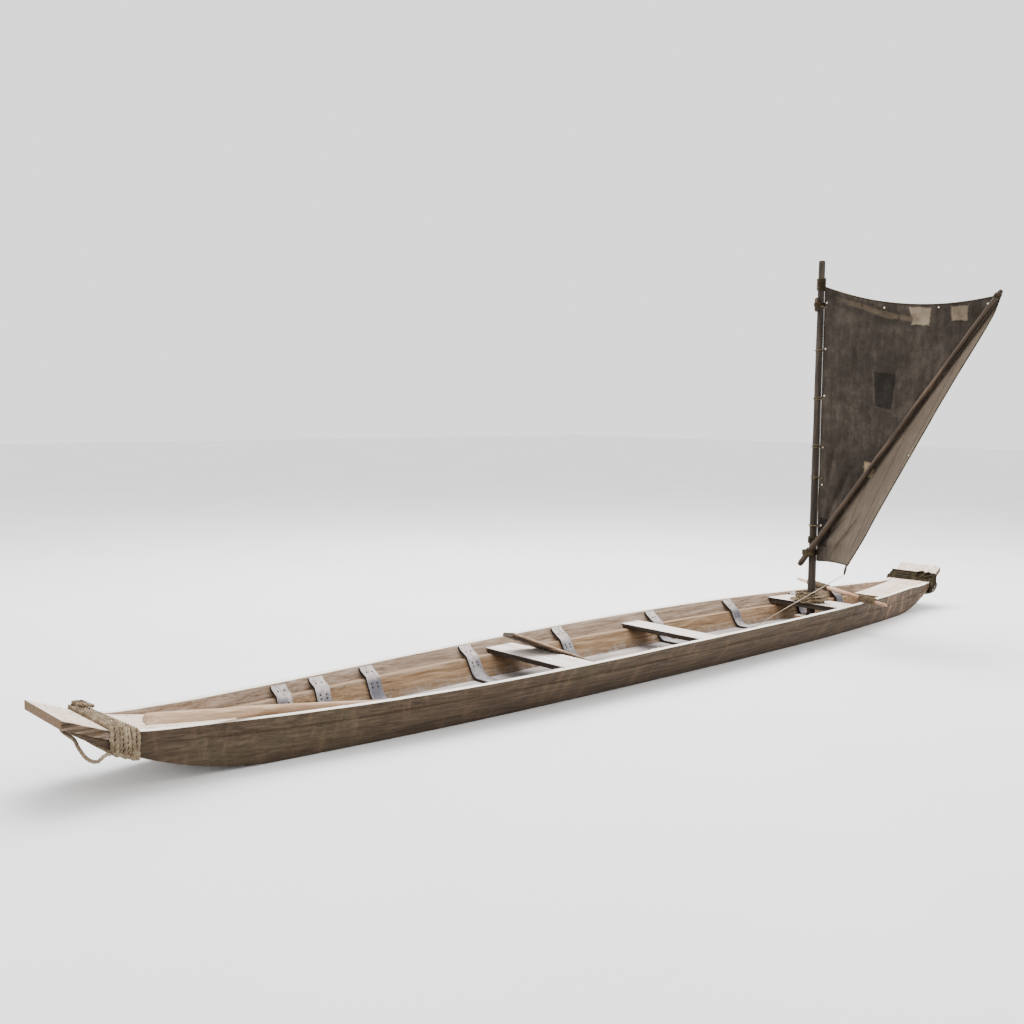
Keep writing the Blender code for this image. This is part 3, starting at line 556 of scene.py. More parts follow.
class Tree:
    """A material's node tree, with short calls for its nodes."""

    def __init__(self, name):
        self.material = bpy.data.materials.new(name)
        self.material.use_nodes = True
        self.nodes = self.material.node_tree.nodes
        self.links = self.material.node_tree.links
        self.shader = self.nodes["Principled BSDF"]

    def add(self, kind, inputs=None, **settings):
        made = self.nodes.new("ShaderNode" + kind)
        for key, value in settings.items():
            setattr(made, key, value)
        for key, value in (inputs or {}).items():
            self.feed(made, key, value)
        return made

    def feed(self, made, key, value):
        if isinstance(value, bpy.types.NodeSocket):
            self.links.new(value, made.inputs[key])
        else:
            made.inputs[key].default_value = value

    def noise(self, vector, scale, detail=4.0, roughness=0.55, distortion=0.0):
        inputs = {"Vector": vector, "Scale": scale, "Detail": detail}
        inputs.update({"Roughness": roughness, "Distortion": distortion})
        return self.add("TexNoise", inputs).outputs["Fac"]

    def stretch(self, vector, scale):
        return self.add("Mapping", {"Vector": vector, "Scale": scale}).outputs[0]

    def split(self, vector):
        return self.add("SeparateXYZ", {0: vector}).outputs

    def maths(self, kind, first, second):
        return self.add("Math", {0: first, 1: second}, operation=kind).outputs[0]

    def times(self, first, second):
        return self.maths("MULTIPLY", first, second)

    def weigh(self, first, *others):
        """The sum of values, each times its weight."""
        total = self.times(*first)
        for value, weight in others:
            total = self.maths("ADD", total, self.times(value, weight))
        return total

    def ramp(self, value, low, high, out_low=0.0, out_high=1.0):
        inputs = {"Value": value, "From Min": low, "From Max": high}
        inputs.update({"To Min": out_low, "To Max": out_high})
        return self.add("MapRange", inputs, interpolation_type="SMOOTHSTEP").outputs[0]

    def colours(self, value, *stops):
        made = self.add("ValToRGB", {"Fac": value})
        elements = made.color_ramp.elements
        while len(elements) < len(stops):
            elements.new(0.5)
        for element, (place, colour) in zip(elements, stops):
            element.position = place
            element.color = srgb(*colour)
        return made.outputs["Color"]

    def mix(self, share, first, second):
        made = self.add("Mix", data_type="RGBA")
        for key, value in ((0, share), (6, first), (7, second)):
            self.feed(made, key, srgb(*value) if isinstance(value, tuple) else value)
        return made.outputs[2]

    def bump(self, height, distance, strength=1.0, normal=None):
        inputs = {"Height": height, "Distance": distance, "Strength": strength}
        if normal is not None:
            inputs["Normal"] = normal
        return self.add("Bump", inputs).outputs[0]

    def object_point(self, axis=(1.0, 0.0, 0.0), place=(0.0, 0.0, 0.0)):
        """The point in the row frame, turned so that axis runs along X and moved to its own place."""
        point = self.add("TexCoord").outputs["Object"]
        turn = Vector(axis).rotation_difference(Vector((1.0, 0.0, 0.0))).to_euler()
        return self.add("Mapping", {"Vector": point, "Rotation": turn, "Location": place}).outputs[0]

    def object_normal(self):
        return self.split(self.add("TexCoord").outputs["Normal"])

    def wander(self, point, scale, reach):
        """The point moved sideways a little and smoothly, so that grain along X wanders."""
        sway = self.add("TexNoise", {"Vector": point, "Scale": scale, "Detail": 2.0}).outputs["Color"]
        bent = self.add("VectorMath", {0: sway, 1: (0.5, 0.5, 0.5)}, operation="SUBTRACT").outputs[0]
        shares = {0: bent, 1: (0.0, reach, reach), 2: point}
        return self.add("VectorMath", shares, operation="MULTIPLY_ADD").outputs[0]

    def fibres(self, point, along, across, scale, detail, roughness, distortion=0.0):
        """Noise drawn out along X."""
        point = self.stretch(point, (along, across, across))
        return self.noise(point, scale, detail, roughness, distortion)

    def cracks(self, point, along, across, distortion):
        return self.ramp(self.fibres(point, along, across, 1.0, 3.0, 0.5, distortion), 0.30, 0.40, 1.0, 0.0)

    def done(self, colour, roughness, specular, normal):
        """The material, once its shader has these."""
        keys = ("Base Color", "Roughness", "Specular IOR Level", "Normal")
        for key, value in zip(keys, (colour, roughness, specular, normal)):
            self.feed(self.shader, key, value)
        return self.material


def wood(name, dark, middle, light, axis=(1, 0, 0), bleach_and_top_light=None, seed=0.0, stain=0.35):
    """Weathered timber with its grain along axis; bleach_and_top_light is the colour of faces that look up,
    partly sun bleaching and partly painted top light.
    """
    tree = Tree(name)
    point = tree.object_point(axis, (seed * 3.7, seed * 1.9, seed * 2.3))
    bent = tree.wander(point, 2.2, 0.06)
    grain = tree.fibres(bent, 1.3, 24.0, 1.5, 9.0, 0.62, 0.5)
    fibre = tree.fibres(bent, 6.0, 190.0, 1.0, 5.0, 0.6)
    patch = tree.noise(point, 2.6, 6.0, 0.6)
    blotch = tree.fibres(point, 1.0, 3.0, 5.5, 8.0, 0.68)
    value = tree.weigh((grain, 0.62), (fibre, 0.22), (patch, 0.28))
    colour = tree.colours(value, (0.36, dark), (0.54, middle), (0.70, light))
    colour = tree.mix(tree.ramp(blotch, 0.56, 0.72, 0.0, stain), colour, dark)
    if bleach_and_top_light is not None:
        # faces that look up turn paler: partly sun bleaching, partly painted top light
        upward = tree.ramp(tree.split(tree.add("NewGeometry").outputs["Normal"])["Z"], 0.3, 0.95)
        colour = tree.mix(tree.times(upward, tree.ramp(value, 0.40, 0.62, 0.55, 0.95)), colour, bleach_and_top_light)
    crack = tree.cracks(bent, 2.0, 90.0, 1.2)
    colour = tree.mix(tree.times(crack, 0.55), colour, dark)
    relief = tree.weigh((grain, 0.6), (fibre, 0.4), (crack, -0.5))
    return tree.done(colour, tree.ramp(grain, 0.3, 0.7, 0.88, 0.70), 0.3, tree.bump(relief, 0.0022, 0.8))


def plank_wood(name):
    """The strakes' timber: olive brown outside, darkened partly as painted shade; paler and water-stained
    inside; pale along the top, partly wear and partly painted top light.
    """
    tree = Tree(name)
    point = tree.object_point()
    normal = tree.object_normal()
    place = tree.split(point)
    height = place["Z"]
    facing = tree.times(normal["Y"], place["Y"])
    bent = tree.wander(point, 1.6, 0.05)
    grain = tree.fibres(bent, 1.6, 42.0, 1.5, 9.0, 0.62, 0.4)
    fibre = tree.fibres(bent, 7.0, 260.0, 1.0, 5.0, 0.62)
    patch = tree.fibres(point, 1.0, 2.5, 1.7, 5.0, 0.6)
    value = tree.weigh((grain, 0.58), (fibre, 0.42))
    # outside: dark tones, partly painted shade of the downward-facing side; then moss, slanting scuffs
    # towards the bow, and darker towards the foot
    outer = tree.colours(value, (0.34, (40, 31, 23)), (0.50, (64, 51, 38)), (0.66, (86, 71, 54)))
    outer = tree.mix(tree.times(tree.ramp(patch, 0.52, 0.70), 0.28), outer, (72, 68, 46))
    leaning = {"Vector": point, "Rotation": (0.0, 0.62, 0.0), "Scale": (10.0, 1.0, 2.6)}
    scuff = tree.noise(tree.add("Mapping", leaning).outputs[0], 2.2, 5.0, 0.60)
    scuff = tree.times(tree.ramp(scuff, 0.50, 0.74, 0.0, 0.55), tree.ramp(place["X"], 1.6, 2.9, 0.25, 1.0))
    outer = tree.mix(scuff, outer, (150, 118, 96))
    outer = tree.mix(tree.ramp(height, 0.0, 0.045, 0.55, 0.0), outer, (52, 42, 32))
    # inside: the lower strake is browner, and stained grey along the floor
    pale = tree.colours(value, (0.36, (96, 76, 58)), (0.50, (140, 120, 102)), (0.64, (172, 154, 138)))
    brown = tree.colours(value, (0.36, (84, 60, 38)), (0.50, (130, 104, 76)), (0.64, (160, 134, 108)))
    inner = tree.mix(tree.ramp(height, 0.132, 0.142), brown, pale)
    drips = tree.noise(tree.stretch(point, (9.0, 1.0, 9.0)), 2.4, 9.0, 0.68)
    grey = tree.mix(tree.ramp(drips, 0.36, 0.70), (84, 78, 74), (150, 142, 136))
    damp = tree.times(tree.ramp(height, 0.095, 0.030), tree.ramp(drips, 0.34, 0.66, 0.15, 0.75))
    inner = tree.mix(damp, inner, grey)
    colour = tree.mix(tree.ramp(facing, -0.06, 0.02, 1.0, 0.0), outer, inner)
    # the top faces: pale, partly wear and partly painted top light
    worn = tree.times(tree.ramp(normal["Z"], 0.55, 0.95), tree.ramp(facing, 0.03, 0.10, 1.0, 0.0))
    top = tree.mix(tree.ramp(height, 0.168, 0.185), (140, 116, 92), (238, 230, 218))
    top = tree.mix(tree.ramp(fibre, 0.52, 0.70, 0.0, 0.35), top, (176, 152, 128))
    colour = tree.mix(worn, colour, top)
    crack = tree.cracks(bent, 2.2, 110.0, 1.2)
    colour = tree.mix(tree.times(crack, 0.5), colour, (50, 38, 28))
    relief = tree.weigh((grain, 0.6), (fibre, 0.4), (crack, -0.5))
    return tree.done(colour, tree.ramp(grain, 0.3, 0.7, 0.9, 0.7), 0.25, tree.bump(relief, 0.0022, 0.8))


def cut_board(name, dark, middle, light, edge, axis, seed=0.0, low=None, aft=(38, 29, 21)):
    """A board with a worn pale face, and its sides and underside in darker edge tones as painted shade; low
    is its foot's colour, aft the painted shade on its aft faces.
    """
    tree = Tree(name)
    point = tree.object_point(axis, (seed * 2.9, seed * 1.3, seed * 2.1))
    normal = tree.object_normal()
    grain = tree.fibres(point, 1.8, 34.0, 1.5, 9.0, 0.62, 0.5)
    fibre = tree.fibres(point, 8.0, 240.0, 1.0, 5.0, 0.62)
    patch = tree.noise(point, 5.5, 7.0, 0.66)
    value = tree.weigh((grain, 0.5), (fibre, 0.3), (patch, 0.2))
    colour = tree.colours(value, (0.38, dark), (0.50, middle), (0.62, light))
    if low is not None:
        foot = tree.ramp(tree.split(tree.object_point())["Z"], 0.172, 0.130)
        colour = tree.mix(tree.times(foot, tree.ramp(patch, 0.40, 0.62, 1.0, 0.55)), colour, low)
    side = tree.colours(value, (0.38, (30, 22, 16)), (0.52, edge), (0.68, middle))
    # sides and underside: painted shade in the darker edge tones
    colour = tree.mix(tree.ramp(normal["Z"], 0.35, 0.12), colour, side)
    # aft faces: painted shade
    colour = tree.mix(tree.ramp(normal["X"], -0.75, -0.55, 0.92, 0.0), colour, aft)
    colour = tree.mix(tree.times(tree.cracks(point, 2.0, 90.0, 1.0), 0.45), colour, edge)
    relief = tree.weigh((grain, 0.6), (fibre, 0.4))
    return tree.done(colour, tree.ramp(grain, 0.3, 0.7, 0.92, 0.72), 0.25, tree.bump(relief, 0.0020, 0.8))


def hemp(name, dark, middle, light):
    """Laid natural rope: fibres, painted shade in the valleys between its strands."""
    tree = Tree(name)
    point = tree.object_point()
    fuzz = tree.noise(point, 420.0, 5.0, 0.7)
    value = tree.weigh((fuzz, 0.55), (tree.noise(point, 24.0, 5.0, 0.6), 0.45))
    colour = tree.colours(value, (0.34, dark), (0.52, middle), (0.68, light))
    # painted shade in the hollows between the strands
    hollow = tree.add("NewGeometry").outputs["Pointiness"]
    colour = tree.mix(tree.ramp(hollow, 0.42, 0.52, 0.75, 0.0), colour, dark)
    return tree.done(colour, tree.ramp(fuzz, 0.3, 0.7, 0.95, 0.8), 0.15, tree.bump(fuzz, 0.0012, 0.9))


def canvas(name, dark, middle, light, fore=None, painted_light=None):
    """Old sailcloth: weave, blotches, streaks. fore tints its fore side paler as painted light;
    painted_light is painted light on the part past the sprit and on the folds' ridges, and the crease
    attribute paints shade below them.
    """
    tree = Tree(name)
    point = tree.object_point()
    cloud = tree.noise(point, 2.4, 8.0, 0.66, 0.3)
    mottle = tree.noise(point, 15.0, 8.0, 0.70)
    streak = tree.noise(tree.stretch(point, (8.0, 8.0, 1.5)), 3.0, 7.0, 0.66, 0.4)
    grit = tree.noise(point, 210.0, 4.0, 0.7)
    across = tree.noise(tree.stretch(point, (1.0, 30.0, 520.0)), 1.0, 3.0, 0.6)
    upright = tree.noise(tree.stretch(point, (1.0, 520.0, 30.0)), 1.0, 3.0, 0.6)
    cloth = tree.weigh((across, 0.5), (upright, 0.5))
    value = tree.weigh((cloud, 0.30), (mottle, 0.22), (streak, 0.20), (grit, 0.10), (cloth, 0.18))
    colour = tree.colours(value, (0.38, dark), (0.50, middle), (0.62, light))
    if painted_light is not None:
        # the cloth past the sprit: painted light
        place = tree.split(point)
        slope = (SPRIT_HEAD.z - SPRIT_FOOT.z) / (SPRIT_FOOT.y - SPRIT_HEAD.y)
        edge = SPRIT_FOOT.z + slope * SPRIT_FOOT.y
        line = tree.maths("ADD", tree.times(place["Y"], slope), place["Z"])
        past = tree.ramp(line, edge - 0.10, edge + 0.01, 0.28, 0.0)
        colour = tree.mix(tree.times(past, tree.ramp(place["Y"], -0.30, -0.10, 1.0, 0.0)), colour, painted_light)
        # painted highlight on the folds' ridges, painted shade below them
        crease = tree.add("Attribute", attribute_name="crease").outputs["Fac"]
        colour = tree.mix(tree.ramp(crease, 0.0, 1.0, 0.0, 0.42), colour, painted_light)
        colour = tree.mix(tree.ramp(crease, -0.1, -0.9, 0.0, 0.50), colour, dark)
    if fore is not None:
        # the fore face: painted light, paler than the aft face
        colour = tree.mix(tree.ramp(tree.object_normal()["X"], -0.1, 0.1, 0.0, 0.62), colour, fore)
    weave = tree.bump(cloth, 0.0009, 0.8, tree.bump(mottle, 0.005, 0.5))
    return tree.done(colour, tree.ramp(mottle, 0.3, 0.7, 0.97, 0.88), 0.12, weave)


def iron(name):
    """Rusted nail heads."""
    tree = Tree(name)
    rust = tree.noise(tree.object_point(), 160.0, 6.0, 0.7)
    colour = tree.colours(rust, (0.35, (38, 32, 29)), (0.55, (66, 52, 44)), (0.75, (104, 72, 50)))
    tree.feed(tree.shader, "Metallic", 0.6)
    return tree.done(colour, tree.ramp(rust, 0.3, 0.7, 0.55, 0.85), 0.5, tree.bump(rust, 0.0008, 0.8))


OAR_AXIS = tuple((Vector(OAR[-1][:3]) - Vector(OAR[0][:3])).normalized())
SPRIT_AXIS = tuple((SPRIT_HEAD - SPRIT_FOOT).normalized())
YARD_AXIS = tuple((YARD_FAR - YARD_NEAR).normalized())
BOARD_SIZE = (0.60, 0.20, 0.022)
BOARD_HEADING = math.radians(-26.0)
BOARD_SLOPE = math.radians(23.8)

# Woods: finish, dark, middle and light colour, and what else sets them apart
WOODS = (
    ("inside", (70, 50, 34), (112, 84, 60), (150, 122, 96), {"bleach_and_top_light": (214, 200, 186), "seed": 2.0}),
    ("floor", (92, 86, 84), (142, 134, 130), (186, 178, 172), {"seed": 3.0, "stain": 0.5}),
    ("mast", (20, 16, 13), (42, 34, 28), (70, 59, 48), {"axis": (0, 0, 1), "seed": 7.0}),
    ("sprit", (30, 23, 17), (56, 44, 34), (88, 72, 56), {"axis": SPRIT_AXIS, "seed": 8.0}),
    ("oar", (110, 84, 60), (166, 136, 108), (206, 182, 156), {"axis": OAR_AXIS, "seed": 9.0, "stain": 0.2}),
    ("yard", (110, 78, 56), (176, 140, 112), (222, 196, 172), {"axis": YARD_AXIS, "seed": 10.0}),
)
# Sawn boards: finish, dark, middle, light and edge colour (for cracks, and painted shade on the sides),
# grain's direction, seed, then as above
BOARDS = (
    # the deck's aft colour is painted shade on its aft faces
    (
        "deck", (176, 146, 122), (218, 198, 182), (238, 226, 216), (92, 74, 56),
        (1, 0, 0), 4.0, {"aft": (104, 82, 60)},
    ),
    (
        "frame", (120, 110, 104), (184, 176, 172), (214, 208, 204), (70, 64, 62),
        (0, 1, 0), 5.0, {"low": (88, 87, 94)},
    ),
    ("seat", (178, 162, 148), (222, 212, 204), (242, 236, 230), (48, 35, 25), (0, 1, 0), 6.0, {}),
    (
        "loose", (150, 118, 92), (206, 176, 148), (230, 208, 186), (56, 42, 31),
        (math.cos(BOARD_HEADING), math.sin(BOARD_HEADING), 0), 11.0, {},
    ),
)
# Cloths, then ropes: finish, material, dark, middle and light colour
CLOTHS = (
    ("patch_dark", "dark_patch_canvas", (18, 17, 15), (32, 29, 26), (52, 48, 43)),
    ("patch_light", "light_patch_canvas", (80, 70, 58), (110, 98, 83), (140, 127, 109)),
    ("patch_fore", "fore_patch_canvas", (92, 80, 62), (126, 112, 88), (160, 146, 118)),
    ("patch_white", "white_patch_canvas", (150, 140, 124), (196, 186, 168), (222, 214, 200)),
)
HEMPS = (
    ("rope", (30, 23, 16), (124, 108, 86), (198, 182, 156)),
    ("line", (30, 23, 16), (104, 89, 68), (170, 153, 126)),
    ("pale_line", (120, 108, 92), (176, 164, 146), (214, 204, 190)),
    ("dark_rope", (14, 11, 8), (50, 42, 28), (92, 79, 56)),
)
# the sail's tones are its aft face as seen in shade: painted shade
SAIL_TONES = ((29, 25, 22), (50, 44, 39), (77, 69, 61))
FINISH = {"side": plank_wood("side_wood"), "iron": iron("nail_iron")}
FINISH["sail"] = canvas("sail_canvas", *SAIL_TONES, fore=(150, 130, 102), painted_light=(112, 98, 81))
FINISH |= {key: wood(key + "_wood", *tones, **more) for key, *tones, more in WOODS}
FINISH |= {key: cut_board(key + "_wood", *rest, **more) for key, *rest, more in BOARDS}
FINISH |= {key: canvas(name, *tones) for key, name, *tones in CLOTHS}
FINISH |= {key: hemp(key + "_hemp", *tones) for key, *tones in HEMPS}


# ---------------------------------------------------------------- hull


def plank_rings(marks, outline, radius, side=1, seed=0, wear=0.0012):
    """Rings of a long plank; outline gives its corners (to port, height) at one distance along."""
    rings = []
    for along in marks:
        section = rounded(outline(along), radius)
        section[:, 0] += waver(seed, along, wear, 0.35)
        section[:, 1] += waver(seed + 5, along, wear, 0.28)
        rings.append([(along, side * y, z) for y, z in section])
    return np.array(rings) + SHIFT


def upper_outline(along):
    cut = Section(along)
    low = cut.lap_z + GAP
    return (
        (cut.outer(low), low),
        (cut.gunwale_y, cut.gunwale_z),
        (cut.gunwale_y - UPPER_WIDTH, cut.gunwale_z),
        (cut.upper_inner(low), low),
    )


def lower_outline(along):
    """The lower strake's section; its ledge drops under an end board."""
    cut = Section(along)
    height = cut.lap_z - cut.chine_z
    chamfer = min(0.010, 0.3 * height)
    ledge = cut.lap_z
    step_y = cut.upper_inner(cut.lap_z) + 0.0006
    for board, inside in ((STERN_BOARD, along < 0.90), (BOW_BOARD, along > 6.30)):
        if inside:
            ledge = min(ledge, board_top(board, along) - BOARD_THICK - GAP)
    outside_top = cut.lap_z
    if along < UPPER_ENDS[0] or along > UPPER_ENDS[1]:
        outside_top = ledge
    return (
        (cut.chine_y, cut.chine_z),
        (cut.outer(cut.lap_z) + LAP_PROUD, outside_top - chamfer),
        (cut.outer(cut.lap_z), outside_top),
        (step_y, outside_top),
        (step_y - 0.0004, ledge),
        (cut.lower_top_y, ledge),
        (cut.lower_foot_y, cut.chine_z),
    )


def make_strakes():
    for number, (side_name, side) in enumerate((("port", 1), ("starboard", -1))):
        marks = span(*UPPER_ENDS, 0.06)
        rings = plank_rings(marks, upper_outline, (0.003, 0.007, 0.006, 0.003), side, 11 + number)
        strake = loft(f"upper_strake_{side_name}", soft_ends(rings, 0.004), FINISH["side"])
        stand_in(strake, "side_wood", *(f"upper_strake_{side_name}_{run}" for run in STRAKE_RUNS))
        marks = span(*LOWER_ENDS, 0.06)
        radii = (0.004, 0.004, 0.003, 0.0003, 0.0003, 0.005, 0.003)
        rings = plank_rings(marks, lower_outline, radii, side, 21 + number, wear=0.0006)
        strake = loft(f"lower_strake_{side_name}", soft_ends(rings, 0.004), FINISH["side"])
        stand_in(strake, "side_wood", *(f"lower_strake_{side_name}_{run}" for run in STRAKE_RUNS))


def bottom_outline(share_in, share_out):
    def outline(along):
        cut = Section(along)
        top = cut.chine_z + BOTTOM_THICK
        foot = cut.lower_inner(cut.chine_z) - SIDE_GAP
        head = cut.lower_inner(top) - SIDE_GAP
        inner = share_in * foot
        outer_foot = share_out * foot
        outer_head = head if share_out == 1.0 else outer_foot
        return ((inner, cut.chine_z), (outer_foot, cut.chine_z), (outer_head, top), (inner, top))

    return outline


def make_bottom():
    marks = span(*BOTTOM_ENDS, 0.08)
    parts = []
    share = CENTRE_PLANK_SHARE
    seam = 0.0012
    for inner, outer, side in ((share, 1.0, 1), (share, 1.0, -1), (-share, share, 1)):
        outline = bottom_outline(inner + seam, outer - (seam if outer < 1 else 0))
        parts.append(skin(soft_ends(plank_rings(marks, outline, 0.003, side, wear=0.0), 0.003)))
    bottom = bundle("bottom_planks", parts, "floor", "root", 35)
    planks = ("bottom_plank_port", "bottom_plank_centre", "bottom_plank_starboard")
    stand_in(bottom, "bottom_wood", *planks, "bottom_aft", "bottom_fore")


def end_board_rings(board):
    """The end board's sections: full width past the upper strakes, between them further in."""
    aft = board is STERN_BOARD
    edge = UPPER_ENDS[0] if aft else UPPER_ENDS[1]
    tip = 0.0 if aft else HULL_LENGTH
    tip_half = STERN_TIP_HALF if aft else BOW_TIP_HALF
    inward = 1 if aft else -1
    marks = span(board[0][0], board[-1][0], 0.05, board)
    wide = [m for m in marks if (edge - m) * inward > 0.012] + [edge - 0.002 * inward]
    narrow = [m for m in marks if (m - edge) * inward > 0.012] + [edge - 0.0003 * inward]
    rings = []
    for along in sorted(wide + narrow):
        cut = Section(along)
        low = board_top(board, along) - BOARD_THICK
        high = board_top(board, along)
        half_low = cut.upper_inner(low) - 0.001
        half_high = cut.upper_inner(high) - 0.001
        radius = 0.002
        if along in wide:
            half_low = tip_half if abs(along - tip) < 0.03 else max(tip_half, cut.gunwale_y)
            half_high = half_low
            radius = 0.005
        corners = ((-half_low, low), (half_low, low), (half_high, high), (-half_high, high))
        rings.append([(along, y, z) for y, z in rounded(corners, radius)])
    return np.array(rings) + SHIFT


def make_end_boards():
    for name, board in (("stern_board", STERN_BOARD), ("bow_board", BOW_BOARD)):
        made = loft(name + "_top", soft_ends(end_board_rings(board), 0.004), FINISH["deck"])
        stand_in(made, "deck_wood", name)


def frame_path(along):
    """The line that a bent frame's back follows on the port side, gunwale to keel line."""
    cut = Section(along)
    floor = cut.chine_z + BOTTOM_THICK + GAP
    top = cut.gunwale_z - 0.012
    knee = floor + 0.030
    return (
        (cut.upper_inner(top) - 0.0008, top),
        (cut.upper_inner(top - 0.020) - 0.003, top - 0.020),
        (cut.lower_top_y - 0.0012, cut.lap_z + 0.004),
        (cut.lower_inner(knee) - 0.0012, knee),
        (cut.lower_inner(floor + 0.006) - 0.014, floor + 0.006),
        (cut.lower_inner(floor) - 0.034, floor),
    )


def offset_line(points, distance):
    """The open line moved to its left side by distance, with mitred corners."""
    moved = []
    for k, (y, z) in enumerate(points):
        normals = []
        for a, b in ((k - 1, k), (k, k + 1)):
            if a >= 0 and b < len(points):
                dy = points[b][0] - points[a][0]
                dz = points[b][1] - points[a][1]
                size = math.hypot(dy, dz)
                normals.append((-dz / size, dy / size))
        ny = sum(n[0] for n in normals)
        nz = sum(n[1] for n in normals)
        size = math.hypot(ny, nz)
        ny /= size
        nz /= size
        reach = distance / (ny * normals[0][0] + nz * normals[0][1])
        moved.append((y + ny * reach, z + nz * reach))
    return moved


def make_frames():
    for number, along in enumerate(FRAMES, start=1):
        port = list(frame_path(along))
        back = port + [(-y, z) for y, z in reversed(port)]
        face = offset_line(back, -FRAME_THICK)
        rings = []
        for (by, bz), (fy, fz) in zip(back, face):
            half = FRAME_WIDE / 2 + waver(number, by, 0.002, 0.3)
            corners = ((-half, 0.0), (half, 0.0), (half, 1.0), (-half, 1.0))
            thick = math.hypot(fy - by, fz - bz)
            soft = rounded([(x, t * thick) for x, t in corners], 0.0035)
            soft[:, 1] /= thick
            rings.append([(along + x, by + (fy - by) * t, bz + (fz - bz) * t) for x, t in soft])
        rings = soft_ends(np.array(rings) + SHIFT, 0.003)
        made = loft(f"bent_frame_{number}", rings, FINISH["frame"], soften=50)
        stand_in(made, "frame_wood", f"frame_{number}")


def thwart_rings(aft, fore, low, thick, seed):
    """Sections of a seat across the boat; its ends follow the upper strakes."""
    rings = []
    for share in np.linspace(-1.0, 1.0, 15):
        section = rounded(((aft, low), (fore, low), (fore, low + thick), (aft, low + thick)), 0.005)
        ring = []
        for x, z in section:
            cut = Section(min(max(x, aft), fore))
            half = cut.upper_inner(z) - 0.001
            ring.append((x + waver(seed, share, 0.002, 0.5), share * half, z))
        rings.append(ring)
    return np.array(rings) + SHIFT


def ledge_height(aft, fore):
    return max(Section(aft).lap_z, Section(fore).lap_z)


def make_thwarts():
    for number, (name, aft, fore, thick) in enumerate(THWARTS):
        rings = thwart_rings(aft, fore, ledge_height(aft, fore) + GAP, thick, 41 + number)
        made = loft(name + "_board", soft_ends(rings, 0.003), FINISH["seat"])
        stand_in(made, "seat_wood", name)


def make_loose_board():
    edge_x = THWARTS[0][2]
    edge_z = ledge_height(THWARTS[0][1], THWARTS[0][2]) + GAP + THWARTS[0][3]
    length, width, thick = BOARD_SIZE
    rings = []
    for x in np.linspace(-length / 2, length / 2, 13):
        half = width / 2 + waver(51, x, 0.002, 0.2)
        corners = ((-half, -thick / 2), (half, -thick / 2), (half, thick / 2), (-half, thick / 2))
        rings.append([(x, y, z) for y, z in rounded(corners, 0.003)])
    points, faces = skin(soft_ends(np.array(rings), 0.002))
    turn = Matrix.Rotation(BOARD_SLOPE, 4, "Y") @ Matrix.Rotation(BOARD_HEADING, 4, "Z")
    along_slope = (2.905 - edge_x) / math.cos(BOARD_SLOPE)
    base = Vector((edge_x, 0.055, edge_z))
    base += Vector((math.cos(BOARD_SLOPE), 0.0, -math.sin(BOARD_SLOPE))) * along_slope
    normal = Vector((math.sin(BOARD_SLOPE), 0.0, math.cos(BOARD_SLOPE)))
    place = Matrix.Translation(Vector(SHIFT) + base + normal * (thick / 2 + 2 * GAP)) @ turn
    made = add_mesh("leaning_board", [place @ Vector(p) for p in points], faces, FINISH["loose"])
    stand_in(made, "loose_wood", "loose_board")


# ---------------------------------------------------------------- poles


POLE_SIDES = 18
POLE_STEP = 0.03


def make_pole(name, node, nodes, finish, slot, body, rough, seed):
    """A pole along nodes of (point, half width, half thickness), as smooth between them as wood is."""
    points = np.array([row[0] for row in nodes], float) + SHIFT
    lengths = np.concatenate(([0.0], np.cumsum(np.linalg.norm(np.diff(points, axis=0), axis=1))))
    inner = lengths[1:-1]
    marks = [0.0, *inner[:1]]
    while marks[-1] + POLE_STEP < inner[-1] - 0.5 * POLE_STEP:
        marks.append(marks[-1] + POLE_STEP)
    marks += [inner[-1], lengths[-1]]
    line = np.stack([np.interp(marks, lengths, points[:, k]) for k in range(3)], axis=1)
    wide = np.interp(marks, lengths, [row[1] for row in nodes])
    thick = np.interp(marks, lengths, [row[2] for row in nodes])
    skinned = round_skin(line, list(zip(wide, thick)), POLE_SIDES, seed, rough)
    made = add_mesh(name, *skinned, FINISH[finish], body, 50)
    stand_in(made, slot, node)
    return made


def make_poles():
    nodes = []
    for z in (MAST_FOOT, MAST_FOOT + 0.004, 0.5, 1.2, 1.9, MAST_TOP - 0.006, MAST_TOP):
        radius = mast_radius(z) - (0.005 if z in (MAST_TOP, MAST_FOOT) else 0.0)
        nodes.append(((MAST_ALONG, 0.0, z), radius, radius))
    make_pole("mast_pole", "mast", nodes, "mast", "pole_wood", "rig", rough=0.05, seed=1)
    nodes = []
    for share in (0.0, 0.008, 0.33, 0.66, 0.994, 1.0):
        radius = SPRIT_RADII[0] + share * (SPRIT_RADII[1] - SPRIT_RADII[0])
        if share in (0.0, 1.0):
            radius -= 0.005
        nodes.append((tuple(SPRIT_FOOT.lerp(SPRIT_HEAD, share)), radius, radius))
    make_pole("sprit_pole", "sprit", nodes, "sprit", "pole_wood", "rig", rough=0.05, seed=2)
    nodes = [(tuple(YARD_NEAR.lerp(YARD_FAR, share)), radius, radius) for share, radius in YARD_RADII]
    make_pole("yard_pole", "spare_yard", nodes, "yard", "loose_wood", "root", rough=0.06, seed=3)
    nodes = [(row[:3], row[3], row[4]) for row in OAR]
    make_pole("oar_body", "oar", nodes, "oar", "loose_wood", "root", rough=0.03, seed=4)


# ---------------------------------------------------------------- sail

SAIL_LUFF_STEPS = 90
SAIL_LEECH_STEPS = 60
SAIL_ROWS = 170
CLOTH_THICK = 0.0025


def head_sag(v, u):
    return HEAD_SAG * v**6 * 4 * u * (1 - u)


